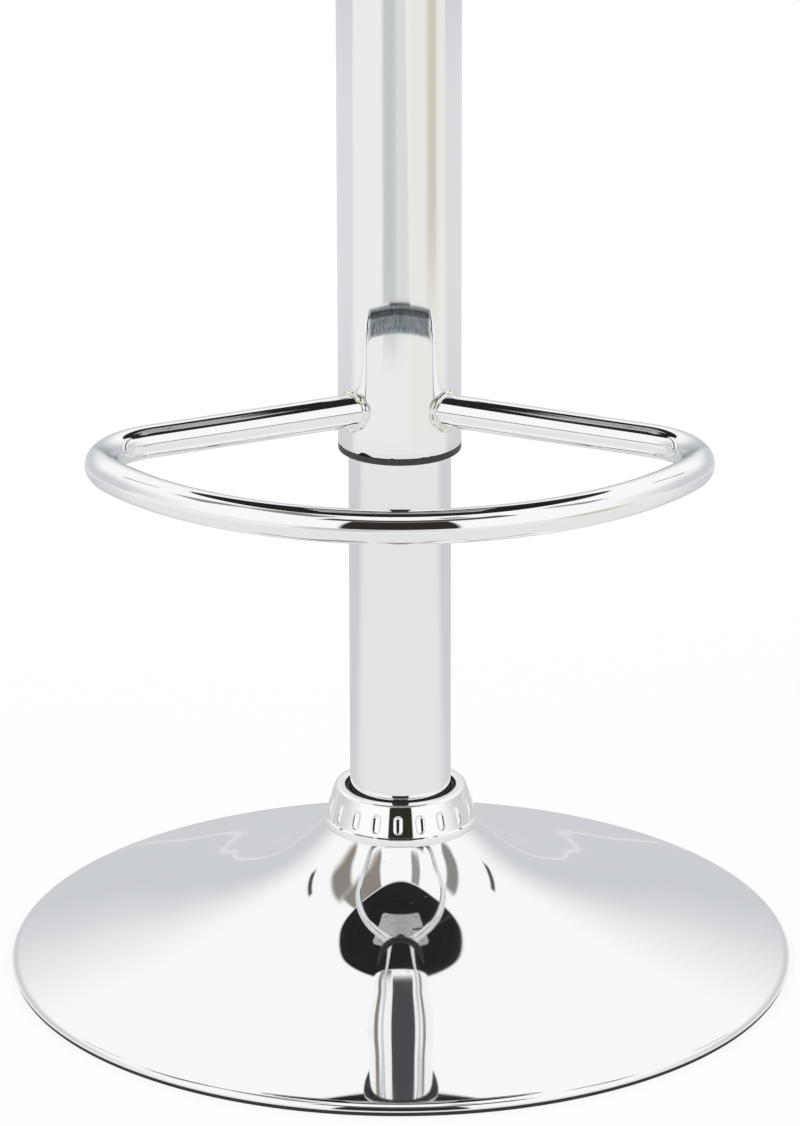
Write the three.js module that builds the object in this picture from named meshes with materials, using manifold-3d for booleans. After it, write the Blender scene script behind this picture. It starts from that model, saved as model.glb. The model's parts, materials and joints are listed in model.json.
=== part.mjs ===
// A gas-lift counter stool: a chromed trumpet base, a fixed column, a sleeve that rises and turns with
// the seat and carries a D-shaped footrest, and a round padded seat on a pressed steel plate.
// Millimetres, +Z up. The origin is on the floor, on the axis of the column. The sitter faces -Y.
// The seat stands as high above its lowest place as the photograph shows it.
import * as THREE from 'three';
import { mergeVertices } from 'three/addons/utils/BufferGeometryUtils.js';
import Module from 'manifold-3d';

const wasm = await Module();
wasm.setup();

// Driving sizes
const baseDiameter = 390;
const columnDiameter = 50;
const columnLength = 336;
const sleeveDiameter = 60;
const sleeveLength = 262;
const seatDiameter = 440;
const liftShown = 158; // height of the seat above its lowest place, as photographed
const liftLeft = 57; // what is left of the travel above that
const gap = 0.3; // between pieces that touch
const overrun = 5; // how far a cutter runs past what it cuts
const mergeDistance = 0.001; // corners closer than this are one corner

// Base shell and its rubber ring
const shellWall = 1.5;
const brimInset = 7;
const brimHeight = 5.5;
const neckTopRadius = 34.4;
const neckTopHeight = 78;
const rimRollRise = 1.6;
const rimRollWidth = 1.7;
const gasketThickness = 2.1;
const gasketWidth = 8.4;
const gasketInset = 0.7;
const gasketLipHeight = 0.8;
const trumpetRadiusShares = [
  0, 0.026, 0.082, 0.1406, 0.1927, 0.2448, 0.2969, 0.375, 0.4466, 0.5703, 0.7201, 0.8698, 1,
];
const trumpetHeightShares = [
  1, 0.9251, 0.8052, 0.6961, 0.6113, 0.5401, 0.4812, 0.407, 0.3494, 0.2633, 0.1757, 0.089, 0,
];

// Hub, ballast weight and their bolts
const weightRadius = 128;
const weightHoleRadius = 22;
const weightThickness = 7;
const weightClearance = 6;
const hubClearance = 0.6; // round the foot of the column
const hubWall = 3.3;
const hubFlangeRadius = 60;
const hubFlangeThickness = 4;
const hubLedgeRadius = 20;
const hubProud = 2;
const baseBoltRadius = 3;
const baseBoltCircle = 46;
const baseBoltHeadRadius = 5.8;
const baseBoltHeadHeight = 3.3;

// Collar round the foot of the column
const collarBottomRadius = 38.4;
const collarTopRadius = 32.3;
const collarHeight = 19.3;
const collarWall = 1.2;
const collarBandHeight = 3.5;
const collarBandStep = 0.9;
const collarHoleRadius = 27.4;
const collarLipHeight = 5;
const collarRounding = 0.9;
const recessWidth = 4.8;
const recessHeight = 9.6;
const recessDepth = 0.8;
const recessRise = 10.2;
const collarSealHeight = 6.8;
const collarSealDrop = 1.4;

// Column and what closes it
const columnWall = 1.5;
const footThickness = 8;
const guideLength = 110;
const guideLipHeight = 3;

// Thrust bearing on the piston rod
const rodRadius = 5;
const raceRadius = 15;
const raceThickness = 2.5;
const ballRadius = 3;
const ballCircle = 10.4;
const cageThickness = 1.6;
const cageMargin = 0.9;
const rodCollarRadius = 9;
const rodCollarHeight = 4;
const bumperRadius = 12;
const bumperHeight = 14;

// Rod ends, clip, piston and nut
const rodStub = 5;
const grooveDepth = 1;
const clipThickness = 1.4;
const clipRadius = 9;
const clipMouth = 6;
const rodThreadRadius = 4;
const pistonThickness = 14;
const pistonClearance = 0.8;
const pistonGrooveDepth = 1.2;
const pistonGrooveWidth = 4;
const nutRadius = 7;
const nutHeight = 5.5;
const nutProud = 1.2;
const strokeSpare = 3;
const bottomSpare = 8;

// Gas cylinder and its valve
const cylinderRadius = 14;
const cylinderWall = 2;
const cylinderTopWall = 19;
const cylinderCrimp = 3.4;
const cylinderTaperLength = 30;
const cylinderTaper = 0.9;
const rodGuideLength = 20;
const rodSealHeight = 6;
const valveLength = 18;
const valvePinRadius = 3;
const valvePinProud = 6;
const valvePinTail = 4;

// Sleeve, its lower bush and its top cap
const sleeveWall = 1.5;
const bushLip = 3.2;
const bushLength = 25;
const lowestGap = 17.6;
const capFlange = 2.6;
const capLength = 12;

// Footrest, a bent tube welded to the sleeve at both ends
const footTubeRadius = 8;
const footTubeWall = 1.2;
const footRise = 25.2;
const footReach = 193;
const bowRadius = 160;
const cornerRadius = 36.5;
const armAngle = THREE.MathUtils.degToRad(24.6);
const armCross = 13.8;
const weldWidth = 2.2;

// Seat plate and height lever
const plateWall = 2.5;
const plateWidth = 160;
const plateCorner = 12;
const tubRadius = 36;
const hubTubeWall = 3.7;
const hubTubeHeight = 20;
const cylinderProud = 2;
const leverRadius = 4;
const leverRoom = 4;
const leverTip = 5;
const leverPivot = 28;
const leverBend = 46;
const leverDrop = 16;
const leverBendRun = 30;
const leverReach = 186;
const leverBossRadius = 6;
const leverBossWidth = 9.4;
const leverPinRadius = 2.5;
const leverPinProud = 1.5;
const earThickness = 2.5;
const earWidth = 8;
const slotMargin = 2;
const gripRadius = 7;
const gripLength = 56;
const gripEnd = 4;
const gripRounding = 2;

// Seat
const boardThickness = 12;
const coverThickness = 1;
const coverHoleRadius = 40;
const bandHeight = 40;
const bandWall = 1;
const bandRib = 1.4;
const bandFlange = 6;
const bandRibCount = 3;
const pipingRadius = 3;
const pipingInset = 1.5;
const cushionHeight = 59.5;
const cushionBulge = 2.5;
const seatBoltSpacing = 124;
const seatBoltRadius = 3;
const seatBoltHeadRadius = 5.8;
const seatBoltHeadHeight = 4.2;
const washerRadius = 7;
const washerThickness = 1.6;
const boltTipDrop = 2;
const teeNutBarrel = 4.6;
const teeNutLength = 8;
const teeNutFlangeRadius = 9;
const teeNutFlange = 1.3;
const teeNutSink = 1.6;

// Counts of sides and copies
const wideSides = 52;
const seatSides = 44;
const tubeSides = 36;
const innerSides = 20;
const smallSides = 10;
const boltSides = 8;
const hexSides = 6;
const recessCount = 20;
const ballCount = 6;
const fourCount = 4;
const footSteps = 46;
const footSides = 10;
const footBoreSides = 6;
const leverSteps = 14;
const endSteps = 2;
const halfTurn = Math.PI;
const fullTurn = halfTurn * 2;
const turnDegrees = 360; // solids are turned in degrees

// Places that follow from the sizes
const baseRadius = baseDiameter / 2;
const brimRadius = baseRadius - brimInset;
const columnRadius = columnDiameter / 2;
const columnBore = columnRadius - columnWall;
const sleeveRadius = sleeveDiameter / 2;
const sleeveBore = sleeveRadius - sleeveWall;
const seatRadius = seatDiameter / 2;
const runningRadius = columnRadius + gap; // bore of what slides or sits round the column
const hubBore = columnRadius + hubClearance;
const hubRadius = hubBore + hubWall;
const shellFoot = gasketThickness + gap;

const weightTop = weightClearance + weightThickness;
const flangeBottom = weightTop + gap;
const flangeTop = flangeBottom + hubFlangeThickness;
const columnBottom = flangeTop + gap;
const columnTop = columnBottom + columnLength;
const footTop = columnBottom + footThickness;
const lowerRaceBottom = footTop + gap;
const ballBottom = lowerRaceBottom + raceThickness + gap;
const ballMiddle = ballBottom + ballRadius;
const upperRaceBottom = ballMiddle + ballRadius + gap;
const rodCollarBottom = upperRaceBottom + raceThickness + gap;
const rodCollarTop = rodCollarBottom + rodCollarHeight;
const bumperTop = rodCollarTop + gap + bumperHeight;
const clipTop = columnBottom - gap;
const grooveTop = clipTop + gap;
const grooveBottom = clipTop - clipThickness - gap;
const rodBottom = grooveBottom - rodStub;

const collarBottom = trumpetHeight(collarBottomRadius) + gap;
const collarTop = collarBottom + collarHeight;
const bushBottom = collarTop + lowestGap + liftShown;
const sleeveBottom = bushBottom + bushLip + gap;
const sleeveTop = sleeveBottom + sleeveLength;
const capTop = sleeveTop + gap + capFlange;
const footHeight = bushBottom + footRise;

const cylinderBottom = bumperTop + bottomSpare + liftShown;
const guideBottom = cylinderBottom + cylinderWall + gap;
const sealBottom = guideBottom + rodGuideLength + gap;
const sealTop = sealBottom + rodSealHeight;
const pistonBottom = sealTop + liftLeft + strokeSpare;
const pistonTop = pistonBottom + pistonThickness;

const plateBottom = capTop + gap;
const tubFloor = plateBottom + plateWall;
const hubTubeTop = tubFloor + hubTubeHeight;
const cylinderTop = hubTubeTop + cylinderProud;
const pinTop = cylinderTop + valvePinProud;
const leverHeight = pinTop + gap + leverRadius;
const rimBottom = leverHeight + leverRadius + leverRoom;
const rimTop = rimBottom + plateWall;
const coverBottom = rimTop + gap;
const coverTop = coverBottom + coverThickness;
const boardBottom = coverTop + gap;
const boardTop = boardBottom + boardThickness;
const bandBottom = boardBottom - gap - bandWall;
const bandTop = bandBottom + bandHeight;
const bandInner = seatRadius - bandRib - bandWall;
const boardRadius = bandInner - gap;
const coverRadius = seatRadius - bandFlange - gap;
const cushionBottom = boardTop + gap;
const cushionTop = cushionBottom + cushionHeight;
const cylinderBore = cylinderRadius - cylinderWall;
const cylinderRoof = cylinderTop - cylinderTopWall;
const pinBore = valvePinRadius + gap;

// Height of the trumpet's outer face at a radius, between the neck and the brim.
function trumpetHeight(radius) {
  const share = (radius - neckTopRadius) / (brimRadius - neckTopRadius);
  const last = trumpetRadiusShares.length - 1;
  const after = Math.min(last, Math.max(1, trumpetRadiusShares.findIndex((s) => s >= share)));
  const before = after - 1;
  const span = trumpetRadiusShares[after] - trumpetRadiusShares[before];
  const part = (share - trumpetRadiusShares[before]) / span;
  const height = THREE.MathUtils.lerp(trumpetHeightShares[before], trumpetHeightShares[after], part);
  return THREE.MathUtils.lerp(brimHeight, neckTopHeight, height);
}

// A closed geometry as a solid, with shared corners merged, flat triangles dropped and faces outwards.
function solidOf(geometry) {
  const bare = new THREE.BufferGeometry();
  bare.setAttribute('position', geometry.getAttribute('position').clone());
  if (geometry.index) bare.setIndex(geometry.index.clone());
  const merged = mergeVertices(bare, mergeDistance);
  const corners = [...merged.index.array];
  const kept = [];
  for (let i = 0; i < corners.length; i += 3) {
    const [a, b, c] = corners.slice(i, i + 3);
    if (a !== b && b !== c && c !== a) kept.push(a, b, c);
  }
  const build = (triangles) => new wasm.Manifold(new wasm.Mesh({
    numProp: 3,
    vertProperties: Float32Array.from(merged.attributes.position.array),
    triVerts: Uint32Array.from(triangles),
  }));
  const solid = build(kept);
  return solid.volume() > 0 ? solid : build(kept.reverse());
}

// A solid as a geometry for a mesh.
function geometryOf(solid) {
  const mesh = solid.getMesh();
  const geometry = new THREE.BufferGeometry();
  geometry.setAttribute('position', new THREE.BufferAttribute(Float32Array.from(mesh.vertProperties), 3));
  geometry.setIndex([...mesh.triVerts]);
  geometry.computeVertexNormals();
  return geometry;
}

const join = (...parts) => parts.reduce((whole, part) => whole.add(part));
const cut = (body, ...tools) => tools.reduce((whole, tool) => whole.subtract(tool), body);

// An outline of [radius, height] pairs turned round the Z axis. It closes on itself or ends on the axis.
function turn(outline, sides) {
  const points = outline.map(([radius, height]) => new THREE.Vector2(radius, height));
  if (points[0].x > 0) points.push(points[0].clone());
  return solidOf(new THREE.LatheGeometry(points, sides).rotateX(halfTurn / 2));
}

// A plain ring with square edges.
function ring(inner, outer, bottom, top, sides) {
  return turn([[inner, bottom], [outer, bottom], [outer, top], [inner, top]], sides);
}

// A plain upright cylinder.
function disc(radius, bottom, top, sides) {
  return turn([[0, bottom], [radius, bottom], [radius, top], [0, top]], sides);
}

// A box between two corners.
function block(low, high) {
  const size = high.map((value, i) => value - low[i]);
  const middle = high.map((value, i) => (value + low[i]) / 2);
  return solidOf(new THREE.BoxGeometry(...size).translate(...middle));
}

// A cylinder lying along Y, centred on y = 0.
function crossPin(radius, length, x, z, sides) {
  return solidOf(new THREE.CylinderGeometry(radius, radius, length, sides).translate(x, 0, z));
}

// Places of a square pattern of four, each half a spacing from both axes.
function squarePlaces(spacing) {
  const half = spacing / 2;
  return [[half, half], [-half, half], [-half, -half], [half, -half]];
}

// Places of four on a circle, between the axes.
function circlePlaces(radius) {
  return squarePlaces(radius * Math.SQRT2);
}

const moved = (solid, x, y, z = 0) => solid.translate([x, y, z]);

// A hexagon-headed bolt that points up, with the bearing face of its head at the given height.
function bolt(headRadius, headHeight, shankRadius, headTop, tip) {
  const head = disc(headRadius, headTop - headHeight, headTop, hexSides);
  const shank = disc(shankRadius, headTop - headHeight / 2, tip, boltSides);
  return join(head, shank);
}

// A tube or bar swept along a curve.
function sweep(curve, radius, boreRadius, sides, boreSides, steps) {
  const circle = (r, count) => Array.from({ length: count }, (_, i) => {
    const angle = (i / count) * fullTurn;
    return new THREE.Vector2(r * Math.cos(angle), r * Math.sin(angle));
  });
  const shape = new THREE.Shape(circle(radius, sides));
  if (boreRadius > 0) shape.holes.push(new THREE.Path(circle(boreRadius, boreSides)));
  return solidOf(new THREE.ExtrudeGeometry(shape, { extrudePath: curve, steps, curveSegments: 1 }));
}

// A plane curve lifted to a height, or stood up on the XZ plane.
class PlaneCurve extends THREE.Curve {
  constructor(path, place) {
    super();
    this.path = path;
    this.place = place;
  }

  getPoint(t, target = new THREE.Vector3()) {
    return target.copy(this.place(this.path.getPoint(t)));
  }
}

// Base shell: a spun trumpet with an open underside and a rolled rim.
function makeShell() {
  const outer = trumpetRadiusShares.map((share, i) => new THREE.Vector2(
    THREE.MathUtils.lerp(neckTopRadius, brimRadius, share),
    THREE.MathUtils.lerp(brimHeight, neckTopHeight, trumpetHeightShares[i]),
  ));
  const inner = outer.map((point, i) => {
    const before = outer[Math.max(0, i - 1)];
    const after = outer[Math.min(outer.length - 1, i + 1)];
    const along = after.clone().sub(before).normalize();
    return new THREE.Vector2(point.x + along.y * shellWall, point.y - along.x * shellWall);
  });
  const pairs = (points) => points.map((point) => [point.x, point.y]);
  const neckBore = hubRadius + gap;
  return turn([
    [neckBore, neckTopHeight],
    ...pairs(outer),
    [baseRadius - rimRollWidth / 2, brimHeight - rimRollRise / 3],
    [baseRadius, brimHeight - rimRollRise * 1.5],
    [baseRadius - gap, shellFoot],
    [baseRadius - rimRollWidth, shellFoot],
    [baseRadius - rimRollWidth, brimHeight - shellWall - rimRollRise / 2],
    ...pairs(inner.filter((point, i) => i % 2 === 0 && i > 0)).reverse(),
    [neckTopRadius - shellWall, neckTopHeight - shellWall],
    [neckBore, neckTopHeight - shellWall],
  ], wideSides);
}

// Rubber ring under the rim, with a lip that sits inside the roll.
function makeGasket() {
  const outer = baseRadius - gasketInset;
  const lip = baseRadius - rimRollWidth - gap;
  return turn([
    [outer - gasketWidth, 0],
    [outer, 0],
    [outer, gasketThickness],
    [lip, gasketThickness],
    [lip, gasketThickness + gasketLipHeight],
    [outer - gasketWidth, gasketThickness + gasketLipHeight],
  ], wideSides);
}

// Cast ballast disc with four bolt holes.
function makeWeight() {
  const plain = ring(weightHoleRadius, weightRadius, weightClearance, weightTop, tubeSides);
  return cut(plain, ...boltHoles(baseBoltCircle, baseBoltRadius, weightClearance, weightTop));
}

function boltHoles(circle, radius, bottom, top) {
  const hole = disc(radius + gap, bottom - overrun, top + overrun, smallSides);
  return circlePlaces(circle).map(([x, y]) => moved(hole, x, y));
}

// Welded socket: a tube on a flange, with a ledge that the column stands on.
function makeHub() {
  const plain = turn([
    [hubLedgeRadius, flangeBottom],
    [hubFlangeRadius, flangeBottom],
    [hubFlangeRadius, flangeTop],
    [hubRadius, flangeTop],
    [hubRadius, neckTopHeight + hubProud],
    [hubBore, neckTopHeight + hubProud],
    [hubBore, flangeTop],
    [hubLedgeRadius, flangeTop],
  ], innerSides);
  return cut(plain, ...boltHoles(baseBoltCircle, baseBoltRadius, flangeBottom, flangeTop));
}

// Chromed collar: a cone on a plain band, with a row of oblong recesses with round ends.
function makeCollar() {
  const skirtInner = collarBottomRadius - collarWall;
  const bandTopZ = collarBottom + collarBandHeight;
  const coneRadius = collarBottomRadius - collarBandStep;
  const lipBottom = collarTop - collarLipHeight;
  const coneTop = collarTop - collarRounding * 2;
  const plain = turn([
    [collarBottomRadius, collarBottom],
    [collarBottomRadius, bandTopZ],
    [coneRadius, bandTopZ + collarRounding],
    [collarTopRadius, coneTop],
    [collarTopRadius - collarRounding / 2, collarTop - collarRounding / 2],
    [collarTopRadius - collarRounding * 2, collarTop],
    [collarHoleRadius + collarRounding, collarTop],
    [collarHoleRadius, collarTop - collarRounding],
    [collarHoleRadius, lipBottom],
    [collarTopRadius - collarWall, lipBottom],
    [coneRadius - collarWall, bandTopZ],
    [skirtInner, trumpetHeight(skirtInner) + gap],
  ], tubeSides);
  return cut(plain, ...makeRecesses(coneRadius, bandTopZ, coneTop));
}

// Cutters for the recesses, each square to the cone's face.
function makeRecesses(coneRadius, coneBottom, coneTop) {
  const lean = Math.atan2(coneRadius - collarTopRadius, coneTop - coneBottom);
  const middle = collarBottom + recessRise;
  const faceShare = (middle - coneBottom) / (coneTop - coneBottom);
  const face = THREE.MathUtils.lerp(coneRadius, collarTopRadius, faceShare);
  const half = recessWidth / 2;
  const straight = recessHeight / 2 - half;
  const outline = new THREE.Shape();
  outline.absarc(0, straight, half, 0, halfTurn, false);
  outline.absarc(0, -straight, half, halfTurn, fullTurn, false);
  const blank = new THREE.ExtrudeGeometry(outline, {
    depth: recessDepth + overrun, steps: 1, bevelEnabled: false, curveSegments: endSteps,
  });
  // The outline stands up facing +X, leans back with the cone and bites into its face.
  blank.rotateX(halfTurn / 2).rotateZ(halfTurn / 2).rotateY(-lean);
  blank.translate(face - recessDepth, 0, middle);
  const tool = solidOf(blank);
  const pitch = turnDegrees / recessCount;
  return Array.from({ length: recessCount }, (_, i) => tool.rotate([0, 0, i * pitch]));
}

// Long bush in the top of the column, with a lip that rests on the tube's end.
function makeGuideBush() {
  const inner = cylinderRadius + gap;
  const lipBottom = columnTop + gap;
  return turn([
    [inner, columnTop - guideLength],
    [columnBore - gap, columnTop - guideLength],
    [columnBore - gap, lipBottom],
    [columnRadius, lipBottom],
    [columnRadius, lipBottom + guideLipHeight],
    [inner, lipBottom + guideLipHeight],
  ], innerSides);
}

// Balls of the thrust bearing, held in one flat cage.
function makeBallCage() {
  const reach = ballRadius + cageMargin;
  const half = cageThickness / 2;
  const cage = ring(ballCircle - reach, ballCircle + reach, ballMiddle - half, ballMiddle + half, innerSides);
  const ball = solidOf(new THREE.SphereGeometry(ballRadius, hexSides, fourCount).rotateX(halfTurn / 2));
  const balls = Array.from({ length: ballCount }, (_, i) => {
    const angle = (i / ballCount) * fullTurn;
    return moved(ball, ballCircle * Math.cos(angle), ballCircle * Math.sin(angle), ballMiddle);
  });
  return join(cage, ...balls);
}

// Piston rod: grooved for its clip below, with a collar on the bearing and a threaded end for the piston.
function makeRod() {
  const nutTop = pistonTop + gap + nutHeight + nutProud;
  return turn([
    [0, rodBottom],
    [rodRadius, rodBottom],
    [rodRadius, grooveBottom],
    [rodRadius - grooveDepth, grooveBottom],
    [rodRadius - grooveDepth, grooveTop],
    [rodRadius, grooveTop],
    [rodRadius, rodCollarBottom],
    [rodCollarRadius, rodCollarBottom],
    [rodCollarRadius, rodCollarTop],
    [rodRadius, rodCollarTop],
    [rodRadius, pistonBottom - gap],
    [rodThreadRadius, pistonBottom - gap],
    [rodThreadRadius, nutTop],
    [0, nutTop],
  ], smallSides);
}

// Spring clip: a flat C that snaps into the rod's groove.
function makeClip() {
  const inner = rodRadius - grooveDepth + gap;
  const full = ring(inner, clipRadius, clipTop - clipThickness, clipTop, smallSides);
  const mouth = block(
    [0, -clipMouth / 2, clipTop - clipThickness - overrun],
    [clipRadius + overrun, clipMouth / 2, clipTop + overrun],
  );
  return cut(full, mouth);
}

// Piston with a groove round it for its seal.
function makePiston() {
  const outer = cylinderBore - pistonClearance;
  const middle = (pistonBottom + pistonTop) / 2;
  const half = pistonGrooveWidth / 2;
  return turn([
    [rodThreadRadius + gap, pistonBottom],
    [outer, pistonBottom],
    [outer, middle - half],
    [outer - pistonGrooveDepth, middle - half],
    [outer - pistonGrooveDepth, middle + half],
    [outer, middle + half],
    [outer, pistonTop],
    [rodThreadRadius + gap, pistonTop],
  ], innerSides);
}

function makePistonSeal() {
  const inner = cylinderBore - pistonClearance - pistonGrooveDepth + gap;
  const middle = (pistonBottom + pistonTop) / 2;
  const half = pistonGrooveWidth / 2 - gap;
  return ring(inner, cylinderBore - gap, middle - half, middle + half, innerSides);
}

// Hexagonal nut that holds the piston on the rod.
function makePistonNut() {
  const bottom = pistonTop + gap;
  const top = bottom + nutHeight;
  const bore = disc(rodThreadRadius + gap, bottom - overrun, top + overrun, smallSides);
  return cut(disc(nutRadius, bottom, top, hexSides), bore);
}

// Gas cylinder: crimped in below, thick at the top, where it tapers into the seat plate's hub.
function makeCylinder() {
  return turn([
    [cylinderRadius - cylinderCrimp - cylinderWall, cylinderBottom],
    [cylinderRadius, cylinderBottom],
    [cylinderRadius, cylinderTop - cylinderTaperLength],
    [cylinderRadius - cylinderTaper, cylinderTop],
    [pinBore, cylinderTop],
    [pinBore, cylinderRoof],
    [cylinderBore, cylinderRoof],
    [cylinderBore, cylinderBottom + cylinderWall],
    [cylinderRadius - cylinderCrimp - cylinderWall, cylinderBottom + cylinderWall],
  ], innerSides);
}

// Plastic bush in the foot of the sleeve. Its lip is the black ring that shows under the chrome.
function makeSleeveBush() {
  const shoulder = bushBottom + bushLip;
  return turn([
    [runningRadius, bushBottom],
    [sleeveRadius, bushBottom],
    [sleeveRadius, shoulder],
    [sleeveBore - gap, shoulder],
    [sleeveBore - gap, shoulder + bushLength],
    [runningRadius, shoulder + bushLength],
  ], tubeSides);
}

// Cap on the top of the sleeve, centred on the gas cylinder.
function makeSleeveCap() {
  const bore = cylinderRadius + gap;
  const flangeBottomZ = sleeveTop + gap;
  return turn([
    [bore, sleeveTop - capLength],
    [sleeveBore - gap, sleeveTop - capLength],
    [sleeveBore - gap, flangeBottomZ],
    [sleeveRadius, flangeBottomZ],
    [sleeveRadius, capTop],
    [bore, capTop],
  ], tubeSides);
}

// Centre line of the footrest, from one weld to the other: arm, corner, bow, corner, arm.
function footrestLine() {
  const bowCentre = new THREE.Vector2(0, bowRadius - footReach);
  const arm = new THREE.Vector2(Math.cos(armAngle), -Math.sin(armAngle));
  const inward = new THREE.Vector2(-Math.sin(armAngle), -Math.cos(armAngle));
  // The corner's centre lies one corner radius inside the arm and inside the bow.
  const start = new THREE.Vector2(0, -armCross).addScaledVector(inward, cornerRadius).sub(bowCentre);
  const reach = bowRadius - cornerRadius;
  const along = start.dot(arm);
  const run = -along + Math.sqrt(along * along - start.lengthSq() + reach * reach);
  const corner = start.clone().addScaledVector(arm, run).add(bowCentre);
  const toBow = Math.atan2(corner.y - bowCentre.y, corner.x);
  const toArm = halfTurn / 2 - armAngle;
  const root = Math.sqrt(sleeveRadius ** 2 - footTubeRadius ** 2) - footTubeRadius;
  const path = new THREE.Path();
  path.moveTo(-root * arm.x, -armCross + root * arm.y);
  path.lineTo(-corner.x - cornerRadius * Math.cos(toArm), corner.y + cornerRadius * Math.sin(toArm));
  path.absarc(-corner.x, corner.y, cornerRadius, halfTurn - toArm, halfTurn - toBow, false);
  path.absarc(0, bowCentre.y, bowRadius, halfTurn - toBow, fullTurn + toBow, false);
  path.absarc(corner.x, corner.y, cornerRadius, toBow, toArm, false);
  path.lineTo(root * arm.x, -armCross + root * arm.y);
  return path;
}

// Footrest with a weld bead round each end, both ends hollowed to fit the sleeve.
function makeFootrest() {
  const path = footrestLine();
  const curve = new PlaneCurve(path, (point) => new THREE.Vector3(point.x, point.y, footHeight));
  const footBore = footTubeRadius - footTubeWall;
  const tube = sweep(curve, footTubeRadius, footBore, footSides, footBoreSides, footSteps);
  const low = footHeight - footTubeRadius - weldWidth - overrun;
  const high = footHeight + footTubeRadius + weldWidth + overrun;
  const weldSpace = disc(sleeveRadius + weldWidth, low, high, tubeSides);
  const beads = [-1, 1].map((side) => {
    const bead = new THREE.CylinderGeometry(
      footTubeRadius + weldWidth, footTubeRadius + weldWidth, sleeveRadius * 2, smallSides);
    bead.rotateZ(halfTurn / 2).translate(side * sleeveRadius, 0, 0).rotateZ(-side * armAngle);
    return solidOf(bead.translate(0, -armCross, footHeight)).intersect(weldSpace);
  });
  return cut(join(tube, ...beads), disc(sleeveRadius + gap, low, high, tubeSides));
}

// Pressed seat plate: a square rim round a tub, with a hub for the taper and two ears for the lever's pin.
function makePlate() {
  const half = plateWidth / 2;
  const outline = new THREE.Shape();
  const corner = half - plateCorner;
  outline.absarc(corner, corner, plateCorner, 0, halfTurn / 2, false);
  outline.absarc(-corner, corner, plateCorner, halfTurn / 2, halfTurn, false);
  outline.absarc(-corner, -corner, plateCorner, halfTurn, -halfTurn / 2, false);
  outline.absarc(corner, -corner, plateCorner, -halfTurn / 2, 0, false);
  const mouth = new THREE.Path();
  mouth.absarc(0, 0, tubRadius + plateWall / 2, 0, fullTurn, true);
  outline.holes.push(mouth);
  const rim = solidOf(new THREE.ExtrudeGeometry(outline, {
    depth: plateWall, steps: 1, bevelEnabled: false, curveSegments: endSteps,
  }).translate(0, 0, rimBottom));
  const hubInner = cylinderRadius + gap;
  const tub = turn([
    [hubInner, plateBottom],
    [tubRadius + plateWall / 2, plateBottom],
    [tubRadius + plateWall, tubFloor],
    [tubRadius + plateWall, rimTop],
    [tubRadius, rimTop],
    [tubRadius, tubFloor],
    [hubInner + hubTubeWall, tubFloor],
    [hubInner + hubTubeWall, hubTubeTop],
    [hubInner, hubTubeTop],
  ], innerSides);
  const earInner = leverBossWidth / 2 + gap;
  const earOuter = earInner + earThickness;
  const ears = [[-earOuter, -earInner], [earInner, earOuter]].map(([near, far]) => block(
    [leverPivot - earWidth / 2, near, tubFloor - plateWall / 2],
    [leverPivot + earWidth / 2, far, leverHeight + leverRadius],
  ));
  const pinHole = crossPin(leverPinRadius + gap, plateWidth, leverPivot, leverHeight, smallSides);
  const earBand = block(
    [leverPivot - earWidth, -earOuter - overrun, leverHeight - leverRoom],
    [leverPivot + earWidth, earOuter + overrun, leverHeight + leverRoom],
  );
  const slotHalf = leverRadius + slotMargin;
  const slot = block(
    [tubRadius - plateWall, -slotHalf, leverHeight - slotHalf],
    [tubRadius + plateWall * 2, slotHalf, leverHeight + slotHalf],
  );
  const holes = seatHoles(seatBoltRadius + gap, rimBottom - overrun, rimTop + overrun);
  return cut(join(rim, tub, ...ears), pinHole.intersect(earBand), slot, ...holes);
}

// Height lever: straight over the valve, with a boss on its pivot pin, then bent down and out to the grip.
function makeLever() {
  const path = new THREE.Path();
  const lowZ = leverHeight - leverDrop;
  const bendEnd = leverBend + leverBendRun;
  path.moveTo(-leverTip, leverHeight);
  path.lineTo(leverBend, leverHeight);
  path.bezierCurveTo(
    leverBend + leverBendRun / 2, leverHeight,
    bendEnd - leverBendRun / 2, lowZ,
    bendEnd, lowZ,
  );
  path.lineTo(leverReach, lowZ);
  const curve = new PlaneCurve(path, (point) => new THREE.Vector3(point.x, 0, point.y));
  const bar = sweep(curve, leverRadius, 0, boltSides, 0, leverSteps);
  const boss = crossPin(leverBossRadius, leverBossWidth, leverPivot, leverHeight, smallSides);
  const hole = crossPin(leverPinRadius + gap, leverBossWidth + overrun, leverPivot, leverHeight, smallSides);
  return cut(join(bar, boss), hole);
}

// Grip pushed over the end of the lever.
function makeGrip() {
  const bore = leverRadius + gap;
  const boreEnd = gripLength - gripEnd;
  const upright = turn([
    [0, gripLength],
    [gripRadius - gripRounding, gripLength],
    [gripRadius, gripLength - gripRounding],
    [gripRadius, gripRounding],
    [gripRadius - gripRounding, 0],
    [bore, 0],
    [bore, boreEnd],
    [0, boreEnd],
  ], smallSides);
  const lying = upright.rotate([0, turnDegrees / 4, 0]);
  return lying.translate([leverReach + gap - boreEnd, 0, leverHeight - leverDrop]);
}

// Cutters on the places of the four seat bolts.
function seatHoles(radius, bottom, top) {
  const hole = disc(radius, bottom, top, smallSides);
  return squarePlaces(seatBoltSpacing).map(([x, y]) => moved(hole, x, y));
}

// Flat dust cover between the seat plate and the board.
function makeCover() {
  const plain = ring(coverHoleRadius, coverRadius, coverBottom, coverTop, seatSides);
  return cut(plain, ...seatHoles(seatBoltRadius + gap, coverBottom - overrun, coverTop + overrun));
}

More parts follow.
